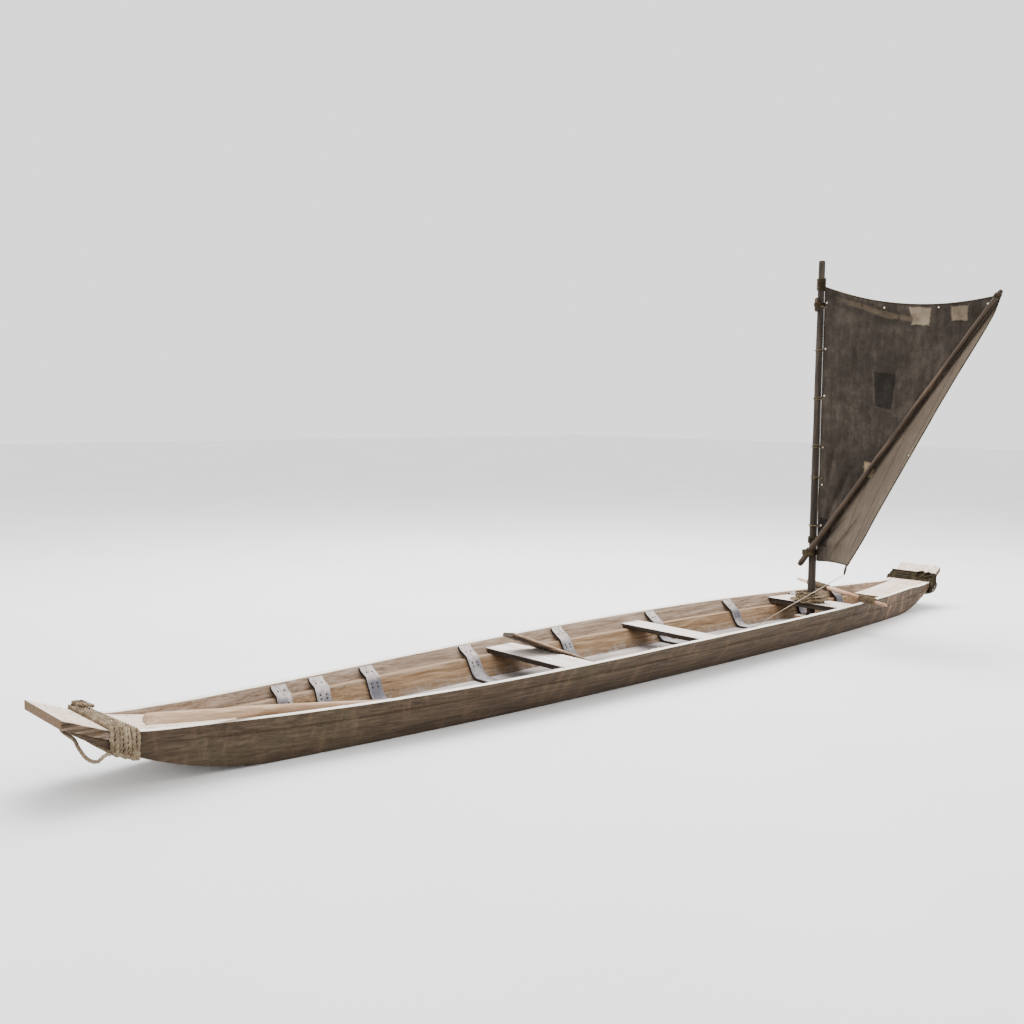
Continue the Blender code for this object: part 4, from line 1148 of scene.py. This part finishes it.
def sail_row(v):
    """One row of the sail, from the luff by the sprit's crease to the leech."""
    luff_z = LUFF_Z[0] + v * (LUFF_Z[1] - LUFF_Z[0])
    leech_z = LEECH[0][0] + v * (LEECH[-1][0] - LEECH[0][0])
    leech_x = fair(LEECH, leech_z, 1)
    leech_y = -fair(LEECH, leech_z, 2)
    luff = Vector((MAST_ALONG, -(mast_radius(luff_z) + LUFF_CLEARANCE), luff_z))
    crease_z = luff_z + 0.5 * (leech_z - luff_z)
    for _ in range(4):
        share = (luff.y - sprit_point(crease_z).y) / (luff.y - leech_y)
        share = min(max(share, 0.04), 0.985)
        crease_z = luff_z + share * (leech_z - luff_z) - head_sag(v, share)
    crease_y = luff.y + share * (leech_y - luff.y)
    crease_x = sprit_point(crease_z).x + SPRIT_CLEARANCE
    points = []
    for k in range(SAIL_LUFF_STEPS + 1):
        t = k / SAIL_LUFF_STEPS
        u = t * share
        z = luff_z + u * (leech_z - luff_z) - head_sag(v, u)
        points.append((luff.x + t * (crease_x - luff.x), luff.y + t * (crease_y - luff.y), z))
    for k in range(1, SAIL_LEECH_STEPS + 1):
        t = k / SAIL_LEECH_STEPS
        u = share + t * (1.0 - share)
        z = luff_z + u * (leech_z - luff_z) - head_sag(v, u)
        x = crease_x + (leech_x - crease_x) * t**1.3
        points.append((x, crease_y + t * (leech_y - crease_y), z))
    return [(x + sail_fold(y, z), y, z) for x, y, z in points]


# Folds of the cloth: to port and height of its two ends, width, depth
FOLDS = (
    ((-0.03, 2.38), (-0.29, 2.27), 0.026, 0.026),
    ((-0.20, 2.31), (-0.54, 2.18), 0.030, 0.040),
    ((-0.42, 2.215), (-0.80, 2.145), 0.034, 0.034),
    ((-0.05, 2.30), (-0.50, 1.95), 0.050, 0.012),
    ((-0.53, 0.902), (-0.215, 0.533), 0.014, 0.020),
    ((-0.04, 0.66), (-0.30, 1.20), 0.022, 0.014),
    ((-0.04, 0.60), (-0.36, 0.86), 0.018, 0.014),
    ((-0.04, 0.72), (-0.16, 1.35), 0.020, 0.012),
    ((-0.40, 1.60), (-0.95, 2.20), 0.060, 0.012),
    ((-0.60, 0.60), (-0.72, 1.02), 0.016, 0.014),
    ((-1.22, 2.22), (-0.70, 1.90), 0.045, 0.012),
    ((-0.20, 1.90), (-0.26, 1.20), 0.040, 0.009),
)


def crease_shade(y, z):
    """How much one place stands out to the light on a fold (above 0) or lies in its shade."""
    ridge = max(0.0, (sail_fold(y, z) - 0.016) / 0.020)
    shade = max(0.0, (sail_fold(y, z + 0.028) - sail_fold(y, z)) / 0.020)
    return min(ridge, 1.0) - 0.9 * min(shade, 1.0)


def sail_fold(y, z):
    """How far forward the cloth stands out at one place, none at its luff and along the sprit."""
    out = 0.0
    for (y0, z0), (y1, z1), wide, deep in FOLDS:
        run = (y1 - y0) ** 2 + (z1 - z0) ** 2
        share = ((y - y0) * (y1 - y0) + (z - z0) * (z1 - z0)) / run
        off = math.hypot(y - y0 - share * (y1 - y0), z - z0 - share * (z1 - z0))
        ends = min(max(share * 4.0, 0.0), 1.0) * min(max((1.0 - share) * 4.0, 0.0), 1.0)
        out += deep * ends * math.exp(-((off / wide) ** 2))
    slack = 0.004 * noise.noise(Vector((0.0, y * 5.0, z * 3.0)))
    out += slack + 0.0015 * noise.noise(Vector((3.0, y * 21.0, z * 17.0)))
    free = min(1.0, max(0.0, (-y - 0.03) / 0.08))
    return abs(out) * free


def make_sail():
    rows = np.array([sail_row(k / SAIL_ROWS) for k in range(SAIL_ROWS + 1)]) + SHIFT
    count = rows.shape[1]
    faces = []
    for i in range(SAIL_ROWS):
        for k in range(count - 1):
            a = i * count + k
            faces.append((a, a + 1, a + count + 1, a + count))
    sail = add_mesh("sail_cloth", rows.reshape(-1, 3), faces, FINISH["sail"], "rig", 180)
    shell = sail.modifiers.new("Cloth", "SOLIDIFY")
    shell.thickness = CLOTH_THICK
    shell.offset = 0.0
    # crease carries the painted highlight and painted shade of the folds
    crease = sail.data.attributes.new("crease", "FLOAT", "POINT")
    crease.data.foreach_set("value", [crease_shade(y, z) for _, y, z in (rows - SHIFT).reshape(-1, 3)])
    stand_in(sail, "sail_cloth", "sail")
    extras = dress_sail(rows, BVHTree.FromPolygons(rows.reshape(-1, 3).tolist(), faces))


# Patches sewn on the sail: name, finish, which side, corners (to port, height)
PATCHES = (
    ("patch_middle", "patch_dark", -1, ((-0.426, 1.823), (-0.574, 1.807), (-0.562, 1.574), (-0.443, 1.593))),
    ("patch_head", "patch_light", -1, ((-0.66, 2.250), (-0.81, 2.235), (-0.80, 2.12), (-0.67, 2.13))),
    ("patch_peak", "patch_light", -1, ((-0.94, 2.238), (-1.06, 2.235), (-1.05, 2.14), (-0.95, 2.145))),
    ("patch_low", "patch_fore", -1, ((-0.38, 1.215), (-0.47, 1.20), (-0.465, 1.10), (-0.385, 1.11))),
    ("patch_tack", "patch_dark", -1, ((-0.05, 0.80), (-0.15, 0.79), (-0.15, 0.60), (-0.05, 0.60))),
    ("patch_fore_yellow", "patch_fore", 1, ((-0.34, 1.25), (-0.44, 1.24), (-0.43, 1.12), (-0.35, 1.12))),
    ("patch_fore_white", "patch_white", 1, ((-0.50, 1.24), (-0.58, 1.23), (-0.57, 1.14), (-0.50, 1.14))),
)
# Eyelets: to port, height
EYELETS = (
    (-0.05, 2.311), (-0.052, 1.992), (-0.055, 1.663), (-0.057, 1.30), (-0.06, 1.035), (-0.062, 0.744),
    (-0.48, 2.255), (-0.86, 2.235), (-1.18, 2.24), (-1.20, 1.99), (-1.06, 1.66), (-0.90, 1.28),
)
LACING_Z = (2.284, 1.982, 1.643, 1.305, 1.084, 0.738, 0.560)
# Seams between the cloths: to port and height of both ends
SEAMS = (
    (-0.30, 2.30, -0.17, 0.56),
    (-0.58, 2.245, -0.36, 0.60),
    (-0.86, 2.22, -0.55, 0.62),
    (-1.12, 2.23, -0.83, 1.16),
)
BOLT_ROPE = 0.0042
EYELET = 0.0085
EYELET_WIRE = 0.0026
THREAD = 0.0007


def on_sail(tree, y, z, side, lift):
    """The place on the cloth's aft (-1) or fore (1) face at a distance to port and height, or None."""
    found, normal, _, _ = tree.ray_cast(Vector((20.0 * side, y, z)), Vector((-side, 0.0, 0.0)))
    if found is None:
        return None
    return found + (normal if normal.x * side >= 0 else -normal) * lift


def dress_sail(rows, tree):
    """What is sewn and tied to the sail: bolt rope, patches with their stitches, eyelets, seams."""
    made = []
    parts = []
    for edge in (rows[-1], rows[0], rows[:, 0], rows[:, -1]):
        line = resample(edge, 0.012)
        parts.append(round_skin(line, [BOLT_ROPE] * len(line), 7, 91, 0.25))
    made.append(bundle("bolt_rope", parts, "dark_rope"))
    for number, (name, finish, side, corners) in enumerate(PATCHES):
        made += sew_patch(tree, name, FINISH[finish], side, corners, number)
    parts = []
    holes = []
    for y, z in EYELETS:
        for side in (-1, 1):
            place = on_sail(tree, y, z, side, 0.0022)
            if place is None:
                continue
            turn = np.linspace(0.0, 2 * math.pi, 17)
            ring = [(place.x, place.y + EYELET * math.cos(t), place.z + EYELET * math.sin(t)) for t in turn]
            parts.append(round_skin(ring, [EYELET_WIRE] * len(ring), 6))
            holes.append(flat_disc(place, 0.0074, 12))
    made.append(bundle("eyelets", parts, "iron"))
    made.append(bundle("eyelet_holes", holes, "patch_white"))
    parts = []
    for y0, z0, y1, z1 in SEAMS:
        for side in (-1, 1):
            for shift in (-0.006, 0.006):
                marks = [(y0 + (y1 - y0) * t + shift, z0 + (z1 - z0) * t) for t in np.linspace(0, 1, 60)]
                line = [on_sail(tree, y, z, side, 0.0016) for y, z in marks]
                line = [p for p in line if p is not None]
                if len(line) > 8:
                    parts.append(round_skin(line, [THREAD] * len(line), 5))
    made.append(bundle("seam_threads", parts, "dark_rope"))
    return [obj.name for obj in made]


def flat_disc(centre, radius, sides):
    """A thin closed disc across the boat."""
    turn = np.linspace(0, 2 * math.pi, sides, endpoint=False)
    edge = [(centre.y + radius * math.cos(t), centre.z + radius * math.sin(t)) for t in turn]
    return skin([[(centre.x + x, y, z) for y, z in edge] for x in (-0.0012, 0.0012)])


def sew_patch(tree, name, finish, side, corners, number):
    """A patch that lies on the cloth, with uneven edges, and a line of stitches inside them."""
    corners = np.array(corners)
    steps = 14
    wide = steps + 1
    points = []
    for lift in (0.0014, 0.0030):
        for i in range(wide):
            for k in range(wide):
                u, v = k / steps, i / steps
                upper = (1 - u) * corners[0] + u * corners[1]
                lower = (1 - u) * corners[3] + u * corners[2]
                y, z = (1 - v) * upper + v * lower
                y += waver(100 + number, v * 6 + u, 0.006, 1.0)
                z += waver(120 + number, u * 6 + v, 0.006, 1.0)
                points.append(on_sail(tree, y, z, side, lift))
    if any(p is None for p in points):
        return []
    top = wide * wide
    faces = []
    for i in range(steps):
        for k in range(steps):
            a = i * wide + k
            face = (a, a + 1, a + wide + 1, a + wide)
            faces += [face, tuple(top + corner for corner in face)]
    rim = list(range(wide)) + [i * wide + steps for i in range(1, wide)]
    rim += [steps * wide + k for k in reversed(range(steps))]
    rim += [i * wide for i in range(steps - 1, 0, -1)]
    for a, b in zip(rim, rim[1:] + rim[:1]):
        faces.append((a, b, top + b, top + a))
    made = [add_mesh(name, points, faces, finish, "rig", 50)]
    stitches = []
    outline = [np.array(points[top + k]) for k in rim]
    middle = sum(outline) / len(outline)
    lift = np.array((side * 0.0006, 0.0, 0.0))
    for here, there in zip(outline, outline[1:] + outline[:1]):
        for t in (0.15, 0.65):
            a = here + (there - here) * t
            b = here + (there - here) * (t + 0.30)
            line = [middle + (p - middle) * 0.93 + lift for p in (a, (a + b) / 2, b)]
            stitches.append(round_skin(line, [0.0009, 0.0011, 0.0009], 5))
    made.append(bundle(name + "_stitches", stitches, "dark_rope"))
    return made


# ---------------------------------------------------------------- ropes


def make_cords():
    for name, points in ROPES.items():
        line = laid(points, ROPE_STEP)
        made = bundle(name + "_rope", [rope_skin(line, ROPE_RADIUS, strand=EVEN_STRAND)], "rope", "root")
        stand_in(made, "rope", name)


# Rope turns round the hull's ends: node, end board, its tip's half breadth, finish, rope radius, turns,
# along of the first and last turn to port and to starboard, then the knot's points (along, to port)
WRAPS = (
    (
        "stern_rope_wrap", STERN_BOARD, STERN_TIP_HALF, "rope", 0.0100, 7, (0.190, 0.258), (0.196, 0.300),
        (
            (0.205, 0.190), (0.250, 0.225), (0.262, 0.200), (0.220, 0.175), (0.200, 0.205),
            (0.240, 0.215), (0.275, 0.180), (0.245, 0.150), (0.205, 0.165),
        ),
    ),
    (
        "bow_rope_wrap", BOW_BOARD, BOW_TIP_HALF, "dark_rope", 0.0090, 6, (6.816, 6.892), (6.822, 6.894),
        (
            (6.830, -0.100), (6.880, -0.130), (6.872, -0.165), (6.835, -0.150),
            (6.845, -0.110), (6.885, -0.090), (6.875, -0.040), (6.840, -0.050),
        ),
    ),
)


def make_wraps():
    """Slanting turns round each end of the hull, tied off with a few crossing strands."""
    for name, board, tip_half, finish, radius, turns, port, starboard, knot in WRAPS:
        line = []
        for turn in range(turns):
            share = turn / (turns - 1)
            at_port = port[0] + share * (port[1] - port[0])
            at_starboard = starboard[0] + share * (starboard[1] - starboard[0])
            thick = radius * (1.0 + 0.35 * (turn % 2))
            cut = Section(0.5 * (at_port + at_starboard))
            half = max(cut.gunwale_y, cut.outer(cut.lap_z) + LAP_PROUD, tip_half) + 0.0012 + thick
            low = cut.chine_z - GAP - thick
            corners = (-half, half, half, -half, -half)
            for k in range(4):
                for t in np.linspace(0.0, 1.0, 14, endpoint=False):
                    y = corners[k] + (corners[k + 1] - corners[k]) * t
                    side = (y + half) / (2 * half)
                    along = at_starboard + (at_port - at_starboard) * side
                    along += waver(60 + turn, 4 * (k + t), 0.0035, 1.1)
                    top = board_top(board, along) + GAP + thick
                    z = (low, low + (top - low) * t, top, top + (low - top) * t)[k]
                    if k in (1, 3):
                        near = min(t, 1 - t) * (top - low)
                        y -= math.copysign(max(0.0, 2.0 * radius - near) * 0.35, y)
                    line.append((along, y, z))
        rises = [radius * (2.9 + 0.6 * (k % 2)) for k in range(len(knot))]
        over = [(x, y, board_top(board, x) + rise) for (x, y), rise in zip(knot, rises)]
        (x0, y0, z0), (x1, y1, z1) = over[0], over[-1]
        over = [(x0, y0, z0 - 1.2 * radius), *over, (x1, y1, z1 - 1.0 * radius)]
        parts = [
            rope_skin(laid(line, 0.006), radius),
            rope_skin(laid(over, 0.005), 0.85 * radius),
        ]
        stand_in(bundle(name + "_turns", parts, finish, "root"), "rope", name)


def winding(centre, axis, length, inner, radius, seed=0):
    """A line wound round an axis in touching turns."""
    axis = Vector(axis).normalized()
    helper = Vector((0.0, 0.0, 1.0)) if abs(axis.z) < 0.9 else Vector((1.0, 0.0, 0.0))
    side = axis.cross(helper).normalized()
    other = side.cross(axis)
    turns = max(2.0, (length - 2 * radius) / (2.08 * radius))
    line = []
    count = int(turns * 26)
    for k in range(count + 1):
        share = k / count
        angle = 2 * math.pi * turns * share
        out = inner + radius + waver(seed, share * 9, 0.0006, 0.5)
        at = Vector(centre) + axis * ((share - 0.5) * (length - 2 * radius))
        line.append(at + side * out * math.cos(angle) + other * out * math.sin(angle))
    return np.array(line)


def make_lashings():
    for name, z, length in MAST_LASHINGS:
        inner = mast_radius(z - length / 2) + 0.0006
        line = winding((MAST_ALONG, 0.0, z), (0.0, 0.0, 1.0), length, inner, MAST_LINE, 71)
        made = bundle(name + "_turns", [rope_skin(line + SHIFT, MAST_LINE)], "dark_rope")
        stand_in(made, "rope", name)
    inner = YARD_TURNS_RADIUS - 2 * YARD_LINE - 0.0004
    for name, share, length in YARD_LASHINGS:
        line = winding(YARD_NEAR.lerp(YARD_FAR, share), YARD_FAR - YARD_NEAR, length, inner, YARD_LINE, 73)
        made = bundle(name + "_turns", [rope_skin(line + SHIFT, YARD_LINE)], "line", "root")
        stand_in(made, "rope", name)


# The untidy turns round the mast's foot: rise, reach to port and forward, tilt, start angle
FOOT_TURNS = (
    (0.004, 0.080, 0.056, 0.10, 0.2),
    (0.010, 0.135, 0.062, -0.12, 1.1),
    (0.014, 0.100, 0.082, 0.20, 2.3),
    (0.020, 0.160, 0.060, -0.08, 3.0),
    (0.026, 0.072, 0.076, 0.30, 4.4),
    (0.032, 0.140, 0.070, -0.22, 5.1),
    (0.038, 0.112, 0.060, 0.26, 0.9),
    (0.048, 0.060, 0.052, -0.30, 2.0),
    (0.060, 0.050, 0.046, 0.34, 3.4),
    (0.078, 0.044, 0.042, -0.20, 1.5),
)


def make_mast_coil():
    """Slack turns and crossings round the mast on its thwart, drooping over the thwart's aft edge."""
    seat = MAST_THWART
    lines = (("mast_coil_turns", "line", 0.0056), ("mast_coil_second_turns", "rope", 0.0062))
    for piece, (name, finish, radius) in enumerate(lines):
        line = []
        for number, (rise, wide, deep, tilt, begin) in enumerate(FOOT_TURNS):
            if number % 2 != piece:
                continue
            for k in range(30):
                angle = begin + 2 * math.pi * k / 30
                y = wide * math.sin(angle) + waver(81 + number, k / 6, 0.018, 1.0) + 0.012
                x = deep * math.cos(angle) + waver(91 + number, k / 6, 0.013, 1.0)
                away = math.hypot(x, y)
                least = mast_radius(0.2) + radius + 0.004
                if away < least:
                    x, y = x * least / away, y * least / away
                along = MAST_ALONG + x
                z = seat["top"] + GAP + radius + rise * 0.75 + tilt * 0.10 * y / 0.1
                z = max(z, seat["top"] + GAP + radius)
                beyond = seat["aft"] - radius - along
                if beyond > 0:
                    z -= min(0.045, beyond * 2.2)
                line.append((along, y, z))
        line = laid(line, 0.006)
        made = bundle(name, [rope_skin(line, radius)], finish, "root")
        if piece == 0:
            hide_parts("mast_rope_coil")


def make_sheet_line():
    skinned = rope_skin(laid(SHEET_ROUTE, 0.004), 0.6 * SHEET_RADIUS)
    made = bundle("sheet_line", [skinned], "pale_line", None)
    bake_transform(made)
    stand_in(made, "rope", "sheet")


# ---------------------------------------------------------------- nails

# Head radii
CHINE_NAIL = 0.0036
LAP_NAIL = 0.0032
FRAME_NAIL = 0.0058
FLOOR_NAIL = 0.0040
DECK_NAIL = 0.0036
SEAT_NAIL = 0.0042
# Rows of four across the end boards: board, their distances along
DECK_NAILS = (
    (STERN_BOARD, (0.05, 0.13, 0.40, 0.55, 0.70)),
    (BOW_BOARD, (6.45, 6.60, 6.72, 6.95)),
)
# Rows along the sides: first and last along, edge, height above it, pitch, its spread, seed, head
SIDE_NAILS = (
    (0.55, 6.6, "chine_z", 0.017, 0.135, 0.03, 211, CHINE_NAIL),
    (0.60, 6.5, "lap_z", 0.018, 0.24, 0.05, 213, LAP_NAIL),
)


def nail_head(place, out, radius):
    """A low dome of iron standing on a face whose outward direction is given."""
    out = Vector(out).normalized()
    helper = Vector((1.0, 0.0, 0.0)) if abs(out.x) < 0.9 else Vector((0.0, 1.0, 0.0))
    side = out.cross(helper).normalized()
    other = out.cross(side)
    place = Vector(place) - out * 0.001
    rings = []
    for rise, share in ((0.0, 1.0), (0.0018, 0.95), (0.0027, 0.60), (0.0030, 0.12)):
        ring = []
        for k in range(8):
            angle = math.pi * k / 4
            spoke = side * math.cos(angle) + other * math.sin(angle)
            ring.append(place + out * rise + spoke * radius * share)
        rings.append([tuple(p) for p in ring])
    return skin(rings)


def side_nails(side, along, last, edge, above, pitch, spread, seed, head):
    """One row of nails along a side's outer face, a little above its chine or its lap."""
    nails = []
    while along < last:
        cut = Section(along)
        z = getattr(cut, edge) + above
        lean = math.atan2(cut.gunwale_y - cut.chine_y, cut.gunwale_z - cut.chine_z)
        out = (0.0, side * math.cos(lean), -math.sin(lean))
        nails.append(nail_head((along + ROW_START, side * cut.outer(z), z), out, head))
        along += pitch + waver(seed, along, spread, 0.3)
    return nails


def frame_nails(along):
    """Nails in pairs on a frame's inner face, up both sides and across the floor."""
    nails = []
    path = frame_path(along)
    back = list(path) + [(-y, z) for y, z in reversed(path)]
    face = offset_line(back, -FRAME_THICK)
    for here, there in ((1, 2), (2, 3), (3, 2)):
        (y0, z0), (y1, z1) = face[here], face[there]
        y, z = 0.6 * y0 + 0.4 * y1, 0.6 * z0 + 0.4 * z1
        size = math.hypot(y1 - y0, z1 - z0)
        outward, upward = -abs(z1 - z0) / size, abs(y1 - y0) / size
        for side in (1, -1):
            for shift in (-0.018, 0.017):
                wobble = waver(200, along * 9 + z * 30 + shift * 50, 0.004, 0.7)
                place = (along + shift + ROW_START, side * y, z + wobble * 0.3)
                nails.append(nail_head(place, (0.0, side * outward, upward), FRAME_NAIL))
    cut = Section(along)
    top = cut.chine_z + BOTTOM_THICK + GAP + FRAME_THICK
    for y in (-0.20, -0.12, -0.05, 0.05, 0.12, 0.20):
        if abs(y) <= cut.lower_inner(cut.chine_z + BOTTOM_THICK) - 0.05:
            for shift in (-0.016, 0.018):
                nails.append(nail_head((along + shift + ROW_START, y, top), (0, 0, 1), FLOOR_NAIL))
    return nails


def make_nails():
    """Clench nails on the frames, along the laps and chines, in the decks and the thwarts."""
    parts = [nail for along in FRAMES for nail in frame_nails(along)]
    for side in (1, -1):
        for row in SIDE_NAILS:
            parts += side_nails(side, *row)
    for board, marks in DECK_NAILS:
        for along in marks:
            slope = (board_top(board, along + 0.01) - board_top(board, along - 0.01)) / 0.02
            top = board_top(board, along)
            edge = min(Section(along).upper_inner(top), 0.17) - 0.022
            for y in (-edge, -0.4 * edge, 0.45 * edge, edge):
                shift = waver(217, along * 9 + y * 20, 0.02, 0.6)
                place = (along + shift + ROW_START, y, top + shift * slope)
                parts.append(nail_head(place, (-slope, 0, 1), DECK_NAIL))
    for _, aft, fore, thick in THWARTS:
        top = ledge_height(aft, fore) + GAP + thick
        for side in (1, -1):
            for share in (0.25, 0.72):
                along = aft + (fore - aft) * share
                y = side * (Section(along).upper_inner(top) - 0.024)
                parts.append(nail_head((along + ROW_START, y, top), (0, 0, 1), SEAT_NAIL))
    nails = bundle("nail_heads", parts, "iron", "root", 50)


# ---------------------------------------------------------------- luff lacing and loose ties


def make_lacing():
    """Turns of thin line that hold the luff to the mast, one at each eyelet."""
    parts = []
    radius = 0.0030
    reach = 0.036
    for number, z in enumerate(LACING_Z):
        inner = mast_radius(z) + 0.0012
        line = []
        for k in range(64):
            angle = -math.pi / 2 + 4 * math.pi * k / 63
            lift = 0.010 * (k / 63 - 0.5) + 0.006 * math.sin(angle * 0.5 + number)
            out = inner + radius
            line.append((MAST_ALONG + out * math.cos(angle), out * math.sin(angle), z + lift))
        start = (MAST_ALONG + 0.004, -(mast_radius(z) + reach), z + 0.004)
        stop = (MAST_ALONG - 0.006, -(mast_radius(z) + reach), z - 0.006)
        points = laid([start, *line, stop], 0.003)
        parts.append(rope_skin(points, radius, step=0.8))
    made = bundle("luff_lacing", parts, "line")


# The halyard's block: height, then its sections' rise and size
BLOCK_Z = 2.30
BLOCK_RINGS = ((-0.050, 0.55), (-0.042, 0.92), (-0.01, 1.0), (0.02, 1.0), (0.040, 0.9), (0.048, 0.5))
BLOCK_LINE = 0.0036
SPRIT_LINE = 0.0034


def make_rig_block():
    """A small wooden block tied to the mast's head for the halyard, and lashings at the sprit's ends."""
    z = BLOCK_Z
    corners = ((-0.020, -0.011), (0.020, -0.011), (0.020, 0.011), (-0.020, 0.011))
    rings = []
    for rise, share in BLOCK_RINGS:
        ring = rounded(np.array(corners) * share, 0.006 * share)
        rings.append([(MAST_ALONG - mast_radius(z) - 0.017 + x, 0.004 + y, z + rise) for x, y in ring])
    block = loft("halyard_block", np.array(rings) + SHIFT, FINISH["sprit"], "rig", soften=50)
    band = []
    for k in range(80):
        angle = 2 * math.pi * 3 * k / 79
        x = MAST_ALONG - 0.014 + (mast_radius(z) + 0.026) * math.cos(angle)
        band.append((x, (mast_radius(z) + 0.006) * math.sin(angle), z - 0.012 + 0.024 * k / 79))
    lines = [rope_skin(laid(band, 0.004), BLOCK_LINE, step=0.8)]
    axis = SPRIT_HEAD - SPRIT_FOOT
    for share, length in ((0.982, 0.034), (0.055, 0.040)):
        centre = SPRIT_FOOT.lerp(SPRIT_HEAD, share)
        inner = SPRIT_RADII[0] + share * (SPRIT_RADII[1] - SPRIT_RADII[0]) + 0.0006
        line = winding(centre, axis, length, inner, SPRIT_LINE, 75) + SHIFT
        lines.append(rope_skin(line, SPRIT_LINE, step=0.8))
    made = bundle("rig_ties", lines, "dark_rope")


# ---------------------------------------------------------------- what stays of the CAD nodes

CARRIED = {
    "stern_block": "side",
    "bow_block": "side",
    "mast_thwart": "seat",
    "mast_thwart_cleat_port": "inside",
    "mast_thwart_cleat_starboard": "inside",
    "mast_step": "inside",
    "clew_toggle": "mast",
    "sprit_lashing": "dark_rope",
}


def dress_carried():
    for name, finish in CARRIED.items():
        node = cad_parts[name]
        node.data.materials.clear()
        node.data.materials.append(FINISH[finish])


# ---------------------------------------------------------------- floor and light


FLOOR_HALF = 40.0


def make_floor():
    tree = Tree("floor_paper")
    point = tree.object_point()
    cloud = tree.noise(point, 0.6, 3.0)
    colour = tree.colours(cloud, (0.3, (238, 238, 238)), (0.7, (244, 244, 244)))
    tree.feed(tree.shader, "Base Color", colour)
    tree.feed(tree.shader, "Roughness", 0.9)
    points = [(x * FLOOR_HALF, y * FLOOR_HALF, -0.0005) for x, y in ((-1, -1), (1, -1), (1, 1), (-1, 1))]
    floor = add_mesh("studio_floor", points, [(0, 1, 2, 3)], tree.material, None)


def make_light(name, at, target, size, power, colour=(1.0, 1.0, 1.0)):
    data = bpy.data.lights.new(name, "AREA")
    data.shape = "RECTANGLE"
    data.size, data.size_y = size
    data.energy = power
    data.color = colour
    light = bpy.data.objects.new(name, data)
    bpy.context.scene.collection.objects.link(light)
    light.location = at
    light.rotation_euler = (Vector(target) - Vector(at)).to_track_quat("-Z", "Y").to_euler()


def make_lights():
    world = bpy.data.worlds.new("Studio")
    bpy.context.scene.world = world
    world.use_nodes = True
    background = world.node_tree.nodes["Background"]
    background.inputs["Color"].default_value = (1.0, 1.0, 1.0, 1.0)
    background.inputs["Strength"].default_value = 1.7
    make_light("Top", (1.5, 2.5, 7.0), (0.0, 0.0, 0.0), (8.0, 6.0), 1500.0)
    make_light("Bow_side", (8.0, -5.0, 4.0), (0.5, 0.0, 0.8), (4.0, 4.0), 260.0, (1.0, 0.98, 0.95))


make_camera()
make_cords()
make_strakes()
make_bottom()
make_end_boards()
make_frames()
make_thwarts()
make_loose_board()
make_poles()
make_sail()
make_wraps()
make_lashings()
make_mast_coil()
make_sheet_line()
make_lacing()
make_rig_block()
make_nails()
dress_carried()
make_floor()
make_lights()
